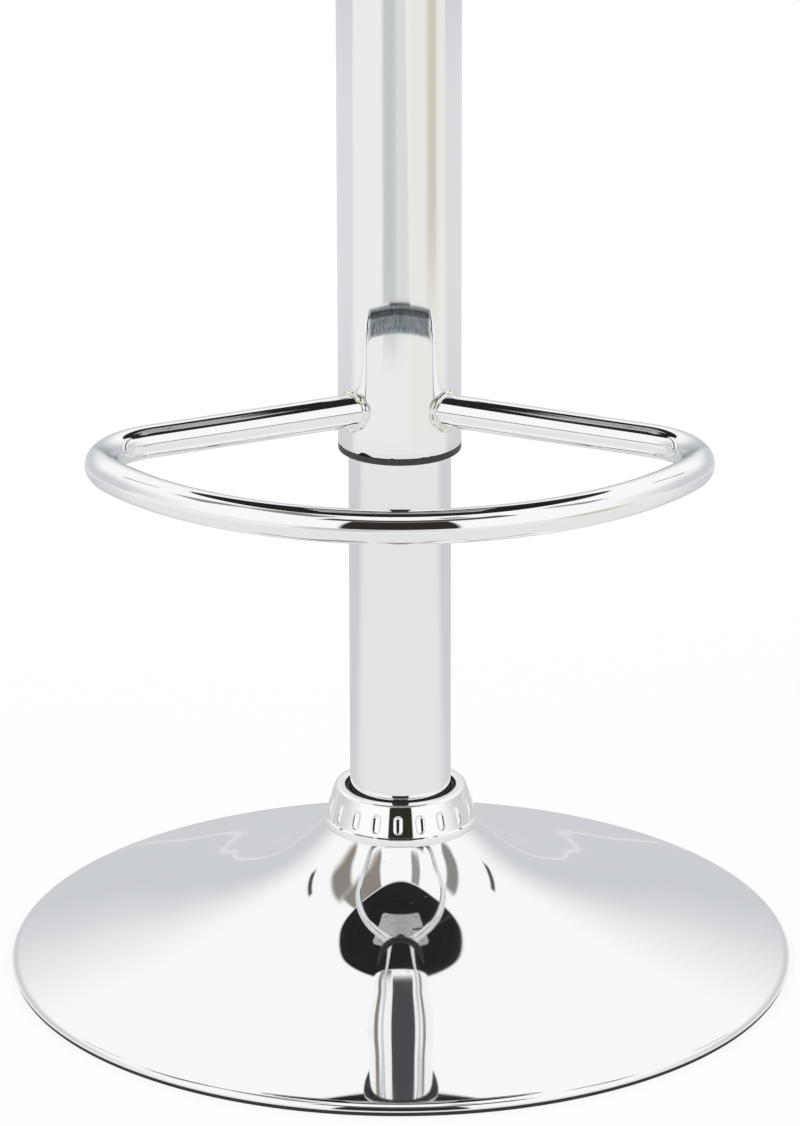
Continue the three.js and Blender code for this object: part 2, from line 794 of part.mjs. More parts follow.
// Round board, drilled for the tee nuts and sunk for their flanges.
function makeBoard() {
  const plain = disc(boardRadius, boardBottom, boardTop, seatSides);
  const barrels = seatHoles(teeNutBarrel + gap, boardBottom - overrun, boardTop + overrun);
  const sinks = seatHoles(teeNutFlangeRadius + gap, boardTop - teeNutSink, boardTop + overrun);
  return cut(plain, ...barrels, ...sinks);
}

// Chromed band round the seat, with raised ribs and a flange turned in under the board.
function makeBand() {
  const pitch = bandHeight / bandRibCount;
  const ribs = Array.from({ length: bandRibCount }, (_, i) => {
    const low = bandBottom + i * pitch;
    return [
      [seatRadius - bandRib, low],
      [seatRadius, low + pitch / 3],
      [seatRadius, low + (pitch * 2) / 3],
    ];
  }).flat();
  return turn([
    [seatRadius - bandFlange, bandBottom],
    ...ribs,
    [seatRadius - bandRib, bandTop],
    [bandInner, bandTop],
    [bandInner, bandBottom + bandWall],
    [seatRadius - bandFlange, bandBottom + bandWall],
  ], seatSides);
}

// Cushion: straight inside the band, drawn in at the piping, bulging above it and crowned.
function makeCushion() {
  const waist = seatRadius - pipingInset - pipingRadius * 2 - gap;
  const pipingTop = bandTop + gap + pipingRadius * 2;
  const wide = seatRadius + cushionBulge;
  const shoulderShares = [[0.72, 0.12], [1, 0.36], [0.9, 0.6]];
  const crownShares = [[0.96, 0.72], [0.86, 0.84], [0.68, 0.93], [0.42, 0.98]];
  const rise = cushionTop - pipingTop;
  return turn([
    [0, cushionBottom],
    [bandInner - gap, cushionBottom],
    [bandInner - gap, bandTop - pipingRadius],
    [waist, bandTop],
    [waist, pipingTop],
    ...shoulderShares.map(([out, up]) => [
      THREE.MathUtils.lerp(waist, wide, out), pipingTop + rise * up,
    ]),
    ...crownShares.map(([out, up]) => [wide * out, pipingTop + rise * up]),
    [0, cushionTop],
  ], seatSides);
}

// Piping cord on the band's edge.
function makePiping() {
  const torus = new THREE.TorusGeometry(
    seatRadius - pipingInset - pipingRadius, pipingRadius, hexSides, seatSides);
  return solidOf(torus.translate(0, 0, bandTop + gap + pipingRadius));
}

// Tee nut let into the top of the board.
function makeTeeNut() {
  const top = boardTop - teeNutSink + gap + teeNutFlange;
  const flange = top - teeNutFlange;
  return turn([
    [seatBoltRadius + gap, flange - teeNutLength],
    [teeNutBarrel, flange - teeNutLength],
    [teeNutBarrel, flange],
    [teeNutFlangeRadius, flange],
    [teeNutFlangeRadius, top],
    [seatBoltRadius + gap, top],
  ], smallSides);
}

const finish = (color, roughness, metalness) => new THREE.MeshStandardMaterial({
  color, roughness, metalness, flatShading: true,
});
const chrome = () => finish(0xe6e8ea, 0.08, 1);
const steel = () => finish(0x9a9da0, 0.4, 0.9);
const blackSteel = () => finish(0x1c1c1e, 0.5, 0.6);
const castIron = () => finish(0x3a3a3c, 0.7, 0.5);
const rubber = () => finish(0x161616, 0.8, 0);
const plastic = () => finish(0x1d1d1f, 0.45, 0);
const vinyl = () => finish(0x1a1a1b, 0.5, 0);
const timber = () => finish(0xc29a63, 0.7, 0);

const stool = new THREE.Group();

function place(name, solid, material) {
  const mesh = new THREE.Mesh(geometryOf(solid), material);
  mesh.name = name;
  stool.add(mesh);
}

// The base and what is fixed to it
place('base_shell', makeShell(), chrome());
place('base_gasket', makeGasket(), rubber());
place('base_weight', makeWeight(), castIron());
place('base_hub', makeHub(), steel());
circlePlaces(baseBoltCircle).forEach(([x, y], i) => {
  const headTop = weightClearance - gap;
  const solid = bolt(baseBoltHeadRadius, baseBoltHeadHeight, baseBoltRadius, headTop, flangeTop);
  place(`base_bolt_${i + 1}`, moved(solid, x, y), steel());
});
place('collar_ring', makeCollar(), chrome());
const sealTopZ = collarTop - collarSealDrop;
place('collar_seal', ring(
  runningRadius, collarHoleRadius - gap, sealTopZ - collarSealHeight, sealTopZ, tubeSides), rubber());
place('column_tube', ring(columnBore, columnRadius, columnBottom, columnTop, tubeSides), chrome());
place('column_foot', ring(rodRadius + gap, columnBore - gap, columnBottom, footTop, innerSides), steel());
place('guide_bush', makeGuideBush(), plastic());
const raceBore = rodRadius + gap;
place('lower_race', ring(
  raceBore, raceRadius, lowerRaceBottom, lowerRaceBottom + raceThickness, innerSides), steel());
place('ball_cage', makeBallCage(), steel());

// The piston rod and what turns with it
place('upper_race', ring(
  raceBore, raceRadius, upperRaceBottom, upperRaceBottom + raceThickness, innerSides), steel());
place('piston_rod', makeRod(), steel());
place('rod_clip', makeClip(), blackSteel());
place('rod_bumper', ring(raceBore, bumperRadius, rodCollarTop + gap, bumperTop, smallSides), rubber());
place('piston', makePiston(), steel());
place('piston_seal', makePistonSeal(), rubber());
place('piston_nut', makePistonNut(), steel());

// What rises with the seat
place('gas_cylinder', makeCylinder(), blackSteel());
const guideRadius = cylinderBore - gap;
place('rod_guide', ring(
  rodRadius + gap, guideRadius, guideBottom, guideBottom + rodGuideLength, innerSides), steel());
place('rod_seal', ring(rodRadius + gap, guideRadius, sealBottom, sealTop, innerSides), rubber());
const valveTop = cylinderRoof - gap;
place('valve_body', ring(pinBore, guideRadius, valveTop - valveLength, valveTop, innerSides), steel());
place('sleeve_tube', ring(sleeveBore, sleeveRadius, sleeveBottom, sleeveTop, tubeSides), chrome());
place('sleeve_bush', makeSleeveBush(), plastic());
place('sleeve_cap', makeSleeveCap(), plastic());
place('footrest', makeFootrest(), chrome());
place('seat_plate', makePlate(), steel());
const pinLength = leverBossWidth + (gap + earThickness + leverPinProud) * 2;
place('lever_pin', crossPin(leverPinRadius, pinLength, leverPivot, leverHeight, boltSides), steel());
place('dust_cover', makeCover(), plastic());
place('seat_board', makeBoard(), timber());
place('seat_band', makeBand(), chrome());
place('seat_cushion', makeCushion(), vinyl());
place('seat_piping', makePiping(), vinyl());
squarePlaces(seatBoltSpacing).forEach(([x, y], i) => {
  const washerTop = rimBottom - gap;
  const headTop = washerTop - washerThickness - gap;
  const solid = bolt(seatBoltHeadRadius, seatBoltHeadHeight, seatBoltRadius, headTop, boardTop - boltTipDrop);
  const washer = ring(seatBoltRadius + gap, washerRadius, washerTop - washerThickness, washerTop, boltSides);
  place(`seat_bolt_${i + 1}`, moved(solid, x, y), steel());
  place(`seat_washer_${i + 1}`, moved(washer, x, y), steel());
  place(`tee_nut_${i + 1}`, moved(makeTeeNut(), x, y), steel());
});

// The valve pin and the lever that presses it
place('valve_pin', disc(valvePinRadius, valveTop - valveLength - valvePinTail, pinTop, smallSides), steel());
place('height_lever', makeLever(), blackSteel());
place('lever_grip', makeGrip(), plastic());

export default stool;
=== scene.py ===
import json
import math
import random

import bpy
from mathutils import Matrix, Vector, noise


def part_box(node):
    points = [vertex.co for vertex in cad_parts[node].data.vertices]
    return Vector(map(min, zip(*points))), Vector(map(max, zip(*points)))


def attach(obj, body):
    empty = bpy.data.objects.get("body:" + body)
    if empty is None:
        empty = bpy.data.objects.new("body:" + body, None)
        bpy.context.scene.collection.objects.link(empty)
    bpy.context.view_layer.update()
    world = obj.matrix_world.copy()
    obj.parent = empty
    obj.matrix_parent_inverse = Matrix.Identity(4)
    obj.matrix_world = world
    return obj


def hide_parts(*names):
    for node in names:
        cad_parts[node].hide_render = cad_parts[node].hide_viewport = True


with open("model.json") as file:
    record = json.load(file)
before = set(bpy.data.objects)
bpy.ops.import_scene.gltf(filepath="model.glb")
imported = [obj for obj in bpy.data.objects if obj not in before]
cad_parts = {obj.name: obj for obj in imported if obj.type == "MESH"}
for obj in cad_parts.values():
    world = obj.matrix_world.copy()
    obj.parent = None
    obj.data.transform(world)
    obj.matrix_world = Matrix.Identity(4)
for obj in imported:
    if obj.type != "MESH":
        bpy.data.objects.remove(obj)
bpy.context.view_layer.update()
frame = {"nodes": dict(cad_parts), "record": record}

mm = 0.001
quarter = math.pi / 2
random.seed(7)


# Selecting and finishing

def deselectAll():
    if bpy.context.object and bpy.context.object.mode != "OBJECT":
        bpy.ops.object.mode_set(mode="OBJECT")
    bpy.ops.object.select_all(action="DESELECT")


def pick(piece):
    deselectAll()
    bpy.context.view_layer.objects.active = piece
    piece.select_set(True)


def applyAll(piece):
    # modifiers go in the order in which they were added
    pick(piece)
    for modifier in list(piece.modifiers):
        bpy.ops.object.modifier_apply(modifier=modifier.name)


def settle(piece):
    # the place goes into the mesh, so that the object itself sits at the origin
    pick(piece)
    bpy.ops.object.transform_apply(location=True, rotation=True, scale=True)


def smooth(piece, angle=35):
    pick(piece)
    bpy.ops.object.shade_smooth_by_angle(angle=math.radians(angle))


def give(piece, material, body, slot, *nodes):
    piece.data.materials.clear()
    piece.data.materials.append(material)
    settle(piece)
    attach(piece, body)
    if nodes:
        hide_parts(*nodes)
    return piece


def top(node):
    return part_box(node)[1].z / mm


def bottom(node):
    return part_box(node)[0].z / mm


def reach(node):
    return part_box(node)[1].x / mm


def copyOf(piece):
    copy = piece.copy()
    copy.data = piece.data.copy()
    bpy.context.scene.collection.objects.link(copy)
    return copy


def joined(pieces):
    pick(pieces[0])
    for piece in pieces:
        piece.select_set(True)
    bpy.ops.object.join()
    return bpy.context.object


def roundEdges(piece, width, segments, angle=None):
    edges = piece.modifiers.new("edges", "BEVEL")
    edges.width = width * mm
    edges.segments = segments
    if angle:
        edges.limit_method = "ANGLE"
        edges.angle_limit = math.radians(angle)
    applyAll(piece)


def addBox(name, low, high, edge):
    deselectAll()
    size = [(b - a) * mm for a, b in zip(low, high)]
    middle = [(a + b) / 2 * mm for a, b in zip(low, high)]
    bpy.ops.mesh.primitive_cube_add(size=1, location=middle)
    box = bpy.context.object
    box.name = name
    box.scale = size
    settle(box)
    if edge:
        roundEdges(box, edge, 3)
    return box


def combine(piece, tool, operation):
    join = piece.modifiers.new("combine", "BOOLEAN")
    join.operation = operation
    join.solver = "EXACT"
    join.object = tool
    applyAll(piece)
    bpy.data.objects.remove(tool)


def addRod(radius, length, place, direction, sides=48):
    deselectAll()
    bpy.ops.mesh.primitive_cylinder_add(vertices=sides, radius=radius * mm, depth=length * mm)
    rod = bpy.context.object
    rod.rotation_euler = Vector(direction).to_track_quat("Z", "Y").to_euler()
    rod.location = Vector(place) * mm
    settle(rod)
    return rod


# An outline of (radius, height) in millimetres, drawn point by point and spun round the column
def spun(name, outline, steps=160, closed=True, angle=35):
    deselectAll()
    bpy.ops.mesh.primitive_plane_add(size=2 * mm, location=(0, 0, 0))
    piece = bpy.context.object
    piece.name = name
    bpy.ops.object.mode_set(mode="EDIT")
    bpy.ops.mesh.select_all(action="SELECT")
    bpy.ops.mesh.merge(type="CENTER")
    radius, height = outline[0]
    bpy.ops.transform.translate(value=(radius * mm, 0, height * mm))
    for nextRadius, nextHeight in outline[1:]:
        step = ((nextRadius - radius) * mm, 0, (nextHeight - height) * mm)
        bpy.ops.mesh.extrude_region_move(TRANSFORM_OT_translate={"value": step})
        radius, height = nextRadius, nextHeight
    bpy.ops.mesh.select_all(action="SELECT")
    if closed:
        bpy.ops.mesh.edge_face_add()
        bpy.ops.mesh.delete(type="ONLY_FACE")
        bpy.ops.mesh.select_all(action="SELECT")
    bpy.ops.mesh.spin(steps=steps, angle=2 * math.pi, center=(0, 0, 0), axis=(0, 0, 1))
    bpy.ops.mesh.select_all(action="SELECT")
    bpy.ops.mesh.remove_doubles(threshold=0.002 * mm)
    bpy.ops.mesh.normals_make_consistent(inside=False)
    bpy.ops.object.mode_set(mode="OBJECT")
    smooth(piece, angle)
    return piece


# Corners of an outline rounded with short arcs; each corner has its own radius
def rounded(corners, arcSteps=5):
    outline = []
    count = len(corners)
    for i, (x, y, radius) in enumerate(corners):
        here = Vector((x, y))
        before = Vector(corners[i - 1][:2]) - here
        after = Vector(corners[(i + 1) % count][:2]) - here
        if radius <= 0:
            outline.append((x, y))
            continue
        half = before.angle(after) / 2
        run = min(radius / math.tan(half), before.length * 0.48, after.length * 0.48)
        start = here + before.normalized() * run
        end = here + after.normalized() * run
        for k in range(arcSteps + 1):
            t = k / arcSteps
            point = start * (1 - t) ** 2 + here * 2 * t * (1 - t) + end * t * t
            outline.append((point.x, point.y))
    return outline


# Camera, at the place that the photograph was taken from
viewpoint = {
    "distance": 2.6, "height": 1.12226, "pitch": 0.33821, "roll": 0.0021,
    "focalPixels": 5615.93, "imageHeight": 1126, "sensor": 36,
}


def makeCamera():
    lens = bpy.data.cameras.new("photoCamera")
    lens.sensor_width = viewpoint["sensor"]
    lens.lens = viewpoint["focalPixels"] * viewpoint["sensor"] / viewpoint["imageHeight"]
    lens.clip_end = 100
    camera = bpy.data.objects.new("photoCamera", lens)
    camera.location = (0, -viewpoint["distance"], viewpoint["height"])
    camera.rotation_euler = (quarter - viewpoint["pitch"], 0, 0)
    camera.rotation_euler.rotate_axis("Z", -viewpoint["roll"])
    bpy.context.scene.collection.objects.link(camera)
    bpy.context.scene.camera = camera
    bpy.context.scene.view_settings.view_transform = "Standard"
    print("camera placed")


makeCamera()


# Node helpers: a socket is another node's output or a plain value
def newNode(tree, kind, inputs=None, **settings):
    node = tree.nodes.new(kind)
    for key, value in settings.items():
        setattr(node, key, value)
    for key, value in (inputs or {}).items():
        if isinstance(value, bpy.types.NodeSocket):
            tree.links.new(value, node.inputs[key])
        else:
            node.inputs[key].default_value = value
    return node


def maths(tree, operation, first, second=0.0, clamp=False):
    node = newNode(tree, "ShaderNodeMath", {0: first, 1: second}, operation=operation, use_clamp=clamp)
    return node.outputs[0]


def stepUp(tree, value, low, high):
    # 0 below low, 1 above high, smooth between
    node = newNode(tree, "ShaderNodeMapRange", {"Value": value, "From Min": low, "From Max": high})
    node.interpolation_type = "SMOOTHSTEP"
    return node.outputs["Result"]


def window(tree, value, low, high, soft):
    rise = stepUp(tree, value, low - soft, low + soft)
    fall = stepUp(tree, value, high - soft, high + soft)
    return maths(tree, "SUBTRACT", rise, fall, clamp=True)


def mixColour(tree, factor, first, second, blend="MIX"):
    node = newNode(tree, "ShaderNodeMix", data_type="RGBA", blend_type=blend)
    for index, value in ((0, factor), (6, first), (7, second)):
        if isinstance(value, bpy.types.NodeSocket):
            tree.links.new(value, node.inputs[index])
        else:
            node.inputs[index].default_value = value
    return node.outputs[2]


# Studio: what the chrome sees, by direction. Azimuth is 0 towards the camera and grows to the right.
studio = {
    "light": 1.0,  # what dull surfaces are lit with
    "horizonBack": (0.63, 0.645, 0.67, 1), "skyBack": (1.0, 1.0, 1.0, 1), "backRise": (9, 36),
    "front": (1.0, 1.0, 1.0, 1), "frontTurn": (60, 110),
    "patches": [
        # azimuth from, to, elevation from, to, softness, colour
        (-19, 19, -6, 48, 1.2, (0.030, 0.026, 0.022, 1)),  # gap at the camera
        (-33, 49, 48.5, 61, 1.5, (0.075, 0.076, 0.082, 1)),  # dark ceiling behind the camera
        (-98, -42, 61, 74, 2.5, (0.27, 0.25, 0.22, 1)),  # panel, left
        (-104, -84, 46, 62, 3, (0.27, 0.25, 0.22, 1)),  # its foot
        (24, 40, 64, 73, 2, (0.32, 0.32, 0.31, 1)),  # panel, right
        (80, 93, 47, 63, 2, (0.27, 0.26, 0.25, 1)),  # stand, right
        (-122.5, -119.5, 36, 47, 1, (0.08, 0.075, 0.07, 1)),  # rod, left
        (120.5, 123.5, 33, 44, 1, (0.08, 0.075, 0.07, 1)),  # rod, right
    ],
}


def makeWorld():
    world = bpy.data.worlds.new("studio")
    bpy.context.scene.world = world
    world.use_nodes = True
    tree = world.node_tree
    tree.nodes.clear()
    direction = newNode(tree, "ShaderNodeTexCoord").outputs["Generated"]
    parts = newNode(tree, "ShaderNodeSeparateXYZ", {0: direction}).outputs
    elevation = maths(tree, "DEGREES", maths(tree, "ARCSINE", parts["Z"]))
    forward = maths(tree, "MULTIPLY", parts["Y"], -1.0)
    azimuth = maths(tree, "DEGREES", maths(tree, "ARCTAN2", parts["X"], forward))
    rise = stepUp(tree, elevation, *studio["backRise"])
    colour = mixColour(tree, rise, studio["horizonBack"], studio["skyBack"])
    turned = stepUp(tree, maths(tree, "ABSOLUTE", azimuth), *studio["frontTurn"])
    colour = mixColour(tree, turned, studio["front"], colour)
    for left, right, low, high, soft, tint in studio["patches"]:
        across = window(tree, azimuth, left, right, soft)
        upright = window(tree, elevation, low, high, soft)
        colour = mixColour(tree, maths(tree, "MULTIPLY", across, upright), colour, tint)
    path = newNode(tree, "ShaderNodeLightPath").outputs
    seen = maths(tree, "ADD", path["Is Glossy Ray"], path["Is Transmission Ray"], clamp=True)
    colour = mixColour(tree, seen, (studio["light"],) * 3 + (1,), colour)
    colour = mixColour(tree, path["Is Camera Ray"], colour, (1, 1, 1, 1))
    back = newNode(tree, "ShaderNodeBackground", {"Color": colour, "Strength": 1.0})
    newNode(tree, "ShaderNodeOutputWorld", {"Surface": back.outputs[0]})


makeWorld()

# Floor, pale and plain, with the faint shadow that the stool leaves on it. Its tints show only in mirrors.
floorLook = {
    "size": 24, "colour": (0.86, 0.86, 0.86, 1), "shadowShare": 0.16,
    "near": (0.82, 0.83, 0.83, 1), "far": (0.89, 0.89, 0.885, 1), "farStart": (0.78, 0.92),
    # behind: grey that only mirrors see on the floor behind the stool, painted shadow of the stool near it
    # and the grey of the backdrop further off
    "behind": (0.63, 0.645, 0.67, 1), "rearStart": (0.05, -0.25),
    "cloth": (0.76, 0.755, 0.785, 1), "clothReach": (0.92, 2.0, 0.30),
    "band": (0.74, 0.75, 0.75, 1), "bandSides": (-0.66, 0.42), "bandSoft": 0.04, "bandStart": (1.0, 1.2),
    "patches": [
        # azimuth from, to, softness, distance from, to, softness, colour
        (-124, -117, 3, 1.45, 9.0, 0.45, (0.22, 0.21, 0.17, 1)),  # dark skirting, left
        (-30, -6, 5, 1.10, 9.0, 0.10, (0.60, 0.62, 0.63, 1)),  # darker half of the strip
        (18, 98, 9, 0.85, 3.0, 0.10, (0.86, 0.85, 0.82, 1)),  # warm mat, right
        (52, 72, 7, 1.25, 9.0, 0.22, (0.66, 0.62, 0.52, 1)),  # its brown edge
    ],
}


def makeFloor():
    deselectAll()
    bpy.ops.mesh.primitive_plane_add(size=floorLook["size"], location=(0, 0, 0))
    floor = bpy.context.object
    floor.name = "floor"
    material = bpy.data.materials.new("floorWhite")
    material.use_nodes = True
    tree = material.node_tree
    tree.nodes.clear()
    place = newNode(tree, "ShaderNodeTexCoord").outputs["Object"]
    parts = newNode(tree, "ShaderNodeSeparateXYZ", {0: place}).outputs
    forward = maths(tree, "MULTIPLY", parts["Y"], -1.0)
    azimuth = maths(tree, "DEGREES", maths(tree, "ARCTAN2", parts["X"], forward))
    away = newNode(tree, "ShaderNodeVectorMath", {0: place}, operation="LENGTH").outputs["Value"]
    seen = mixColour(tree, stepUp(tree, away, *floorLook["farStart"]), floorLook["near"], floorLook["far"])
    band = window(tree, parts["X"], *floorLook["bandSides"], floorLook["bandSoft"])
    band = maths(tree, "MULTIPLY", band, stepUp(tree, forward, *floorLook["bandStart"]))
    seen = mixColour(tree, band, seen, floorLook["band"])
    for left, right, turnSoft, near, far, soft, tint in floorLook["patches"]:
        across = window(tree, azimuth, left, right, turnSoft)
        along = window(tree, away, near, far, soft)
        seen = mixColour(tree, maths(tree, "MULTIPLY", across, along), seen, tint)
    # painted shadow behind the stool, seen in mirrors, with a lighter cloth between
    cloth = window(tree, away, *floorLook["clothReach"])
    rear = mixColour(tree, cloth, floorLook["behind"], floorLook["cloth"])
    seen = mixColour(tree, stepUp(tree, forward, *floorLook["rearStart"]), seen, rear)
    path = newNode(tree, "ShaderNodeLightPath").outputs
    mirror = maths(tree, "ADD", path["Is Glossy Ray"], path["Is Transmission Ray"], clamp=True)
    shown = mixColour(tree, path["Is Camera Ray"], seen, (1, 1, 1, 1))
    glow = newNode(tree, "ShaderNodeEmission", {"Color": shown, "Strength": 1.0}).outputs[0]
    dull = newNode(tree, "ShaderNodeBsdfDiffuse", {"Color": floorLook["colour"]}).outputs[0]
    share = maths(tree, "MULTIPLY", path["Is Camera Ray"], 1 - floorLook["shadowShare"])
    share = maths(tree, "MAXIMUM", share, mirror)
    mixed = newNode(tree, "ShaderNodeMixShader", {0: share, 1: dull, 2: glow}).outputs[0]
    newNode(tree, "ShaderNodeOutputMaterial", {"Surface": mixed})
    floor.data.materials.append(material)


makeFloor()


# Soft lamps, which the chrome doesn't show as shapes
lamps = [
    # place, size, watts
    ((-1.6, -1.7, 2.4), 1.6, 14),
    ((1.8, -1.2, 2.2), 1.6, 9),
    ((0.2, 1.9, 2.0), 1.8, 8),
]
lampAim = Vector((0, 0, 0.35))


def makeLamps():
    for number, (place, size, watts) in enumerate(lamps):
        light = bpy.data.lights.new("softLamp" + str(number), "AREA")
        light.size = size
        light.energy = watts
        lamp = bpy.data.objects.new("softLamp" + str(number), light)
        lamp.location = place
        aim = lampAim - Vector(place)
        lamp.rotation_euler = aim.to_track_quat("-Z", "Y").to_euler()
        lamp.visible_glossy = False
        lamp.visible_camera = False
        bpy.context.scene.collection.objects.link(lamp)


makeLamps()
print("studio, floor and lamps ready")


# Materials

def newMaterial(name, **values):
    material = bpy.data.materials.new(name)
    material.use_nodes = True
    shader = material.node_tree.nodes["Principled BSDF"]
    for key, value in values.items():
        shader.inputs[key.replace("_", " ")].default_value = value
    return material, material.node_tree, shader


def objectPlace(tree, scale=(1, 1, 1)):
    place = newNode(tree, "ShaderNodeTexCoord").outputs["Object"]
    return newNode(tree, "ShaderNodeMapping", {"Vector": place, "Scale": scale}).outputs[0]


def noiseOn(tree, place, scale, detail=2.0, roughness=0.5):
    made = newNode(tree, "ShaderNodeTexNoise", {
        "Vector": place, "Scale": scale, "Detail": detail, "Roughness": roughness})
    return made.outputs["Fac"]


def rampOn(tree, factor, stops):
    ramp = newNode(tree, "ShaderNodeValToRGB", {"Fac": factor})
    points = ramp.color_ramp.elements
    while len(points) < len(stops):
        points.new(0.5)
    for point, (position, value) in zip(points, stops):
        point.position = position
        point.color = (value, value, value, 1) if isinstance(value, (int, float)) else value
    return ramp.outputs["Color"]


def bumpOn(tree, shader, height, strength, distance):
    bump = newNode(tree, "ShaderNodeBump", {"Height": height, "Strength": strength, "Distance": distance})
    tree.links.new(bump.outputs[0], shader.inputs["Normal"])


# Chrome plate: bright, with pits, fine scratches and slightly duller smears
def makeChrome(name, smear=0.05, pits=0.0, waviness=0.0, colour=(0.93, 0.935, 0.94, 1)):
    material, tree, shader = newMaterial(name, Metallic=1.0, Roughness=0.03)
    place = objectPlace(tree)
    cloud = noiseOn(tree, place, 9.0, 3.0)
    scratchPlace = objectPlace(tree, (900, 900, 14))
    scratches = rampOn(tree, noiseOn(tree, scratchPlace, 1.0, 1.0), [(0.70, 0.0), (0.78, 1.0)])
    dull = rampOn(tree, cloud, [(0.42, 0.022), (0.72, 0.022 + smear)])
    dull = mixColour(tree, maths(tree, "MULTIPLY", scratches, 0.12), dull, (0.22, 0.22, 0.22, 1))
    specks = newNode(tree, "ShaderNodeTexVoronoi", {"Vector": place, "Scale": 330.0})
    spot = rampOn(tree, specks.outputs["Distance"], [(0.035, 1.0), (0.075, 0.0)])
    rare = rampOn(tree, noiseOn(tree, place, 60.0, 1.0), [(0.62, 0.0), (0.68, 1.0)])
    pit = maths(tree, "MULTIPLY", maths(tree, "MULTIPLY", spot, rare), pits)
    tree.links.new(mixColour(tree, pit, dull, (0.5, 0.5, 0.5, 1)), shader.inputs["Roughness"])
    tint = mixColour(tree, maths(tree, "MULTIPLY", cloud, 0.05), colour, (0.80, 0.82, 0.83, 1))
    tree.links.new(mixColour(tree, pit, tint, (0.55, 0.56, 0.58, 1)), shader.inputs["Base Color"])
    wave = maths(tree, "MULTIPLY", noiseOn(tree, place, 26.0, 1.0), waviness)
    bumpOn(tree, shader, maths(tree, "SUBTRACT", wave, pit), 1.0, 0.04 * mm)
    return material


# Inner side of the bow painted a darker, speckled teal-grey with a duller roughness: a painted reflection,
# standing in for what that side mirrors where it shows in the sleeve
def bowReflectionPaint(material, centre, inner, start):
    tree = material.node_tree
    shader = tree.nodes["Principled BSDF"]
    place = objectPlace(tree)
    parts = newNode(tree, "ShaderNodeSeparateXYZ", {0: place}).outputs
    flat = newNode(tree, "ShaderNodeCombineXYZ", {
        "X": parts["X"], "Y": maths(tree, "SUBTRACT", parts["Y"], centre)})
    away = newNode(tree, "ShaderNodeVectorMath", {0: flat.outputs[0]}, operation="LENGTH").outputs["Value"]
    inside = stepUp(tree, away, inner + 1.5 * mm, inner - 1.5 * mm)
    share = maths(tree, "MULTIPLY", inside, stepUp(tree, parts["Y"], start, start - 0.03))
    streaky = objectPlace(tree, (0.45, 0.45, 1))
    speckle = rampOn(tree, noiseOn(tree, streaky, 260.0, 4.0, 0.65), [(0.34, 0.0), (0.70, 1.0)])
    # painted reflection: the speckled teal-grey that the bow's inner side shows in the sleeve
    tint = mixColour(tree, speckle, (0.17, 0.21, 0.225, 1), (0.52, 0.56, 0.57, 1))
    for name, value in (("Base Color", tint), ("Roughness", (0.22, 0.22, 0.22, 1))):
        old = shader.inputs[name].links[0].from_socket
        tree.links.new(mixColour(tree, share, old, value), shader.inputs[name])


# A dull material: two close colours by noise, a grain and a roughness that varies
def makeDull(name, dark, light, scale, rough, grain=(0.0, 400.0), metallic=0.0):
    material, tree, shader = newMaterial(name, Metallic=metallic)
    place = objectPlace(tree)
    patch = noiseOn(tree, place, scale, 4.0, 0.6)
    tree.links.new(mixColour(tree, patch, dark, light), shader.inputs["Base Color"])
    low, high = rough
    tree.links.new(rampOn(tree, patch, [(0.3, low), (0.7, high)]), shader.inputs["Roughness"])
    depth, fineness = grain
    bumpOn(tree, shader, noiseOn(tree, place, fineness, 3.0, 0.6), depth, 0.3 * mm)
    return material


# Upholstery vinyl: leather grain of small cells with creases between them
def makeVinyl(name):
    material, tree, shader = newMaterial(name, Specular_IOR_Level=0.38)
    place = objectPlace(tree)
    bend = noiseOn(tree, place, 90.0, 2.0)
    moved = newNode(tree, "ShaderNodeVectorMath", {0: place, 1: (1, 1, 1)}, operation="MULTIPLY_ADD")
    shift = newNode(tree, "ShaderNodeVectorMath", {0: bend, 1: (0.004, 0.004, 0.004)}, operation="MULTIPLY")
    tree.links.new(shift.outputs[0], moved.inputs[2])
    cells = newNode(tree, "ShaderNodeTexVoronoi", {
        "Vector": moved.outputs[0], "Scale": 620.0}, feature="DISTANCE_TO_EDGE")
    crease = rampOn(tree, cells.outputs["Distance"], [(0.0, 0.0), (0.16, 1.0)])
    # painted shade: the creases of the grain are coloured darker than the cells
    tree.links.new(mixColour(tree, crease, (0.008, 0.008, 0.009, 1), (0.019, 0.019, 0.021, 1)),
                   shader.inputs["Base Color"])
    rub = noiseOn(tree, place, 14.0, 3.0)
    tree.links.new(rampOn(tree, rub, [(0.3, 0.34), (0.7, 0.48)]), shader.inputs["Roughness"])
    fine = noiseOn(tree, place, 2400.0, 2.0)
    height = maths(tree, "ADD", crease, maths(tree, "MULTIPLY", fine, 0.25))
    bumpOn(tree, shader, height, 0.45, 0.12 * mm)
    return material


# Plywood: long grain on the faces
def makePlywood(name):
    material, tree, shader = newMaterial(name, Roughness=0.6)
    place = objectPlace(tree, (9, 130, 130))
    rings = noiseOn(tree, place, 1.0, 5.0, 0.6)
    tree.links.new(mixColour(tree, rings, (0.30, 0.18, 0.09, 1), (0.62, 0.44, 0.25, 1)),
                   shader.inputs["Base Color"])
    bumpOn(tree, shader, rings, 0.2, 0.3 * mm)
    return material


# Weld under chrome: the same plate, lumpy, with a straw tint from the heat
def makeWeldChrome(name):
    material, tree, shader = newMaterial(name, Metallic=1.0)
    place = objectPlace(tree)
    heat = noiseOn(tree, place, 120.0, 2.0)
    tree.links.new(mixColour(tree, rampOn(tree, heat, [(0.45, 0.0), (0.7, 1.0)]),
                             (0.92, 0.92, 0.91, 1), (0.86, 0.80, 0.67, 1)), shader.inputs["Base Color"])
    tree.links.new(rampOn(tree, heat, [(0.3, 0.08), (0.7, 0.24)]), shader.inputs["Roughness"])
    bumpOn(tree, shader, noiseOn(tree, place, 700.0, 3.0), 0.35, 0.2 * mm)
    return material


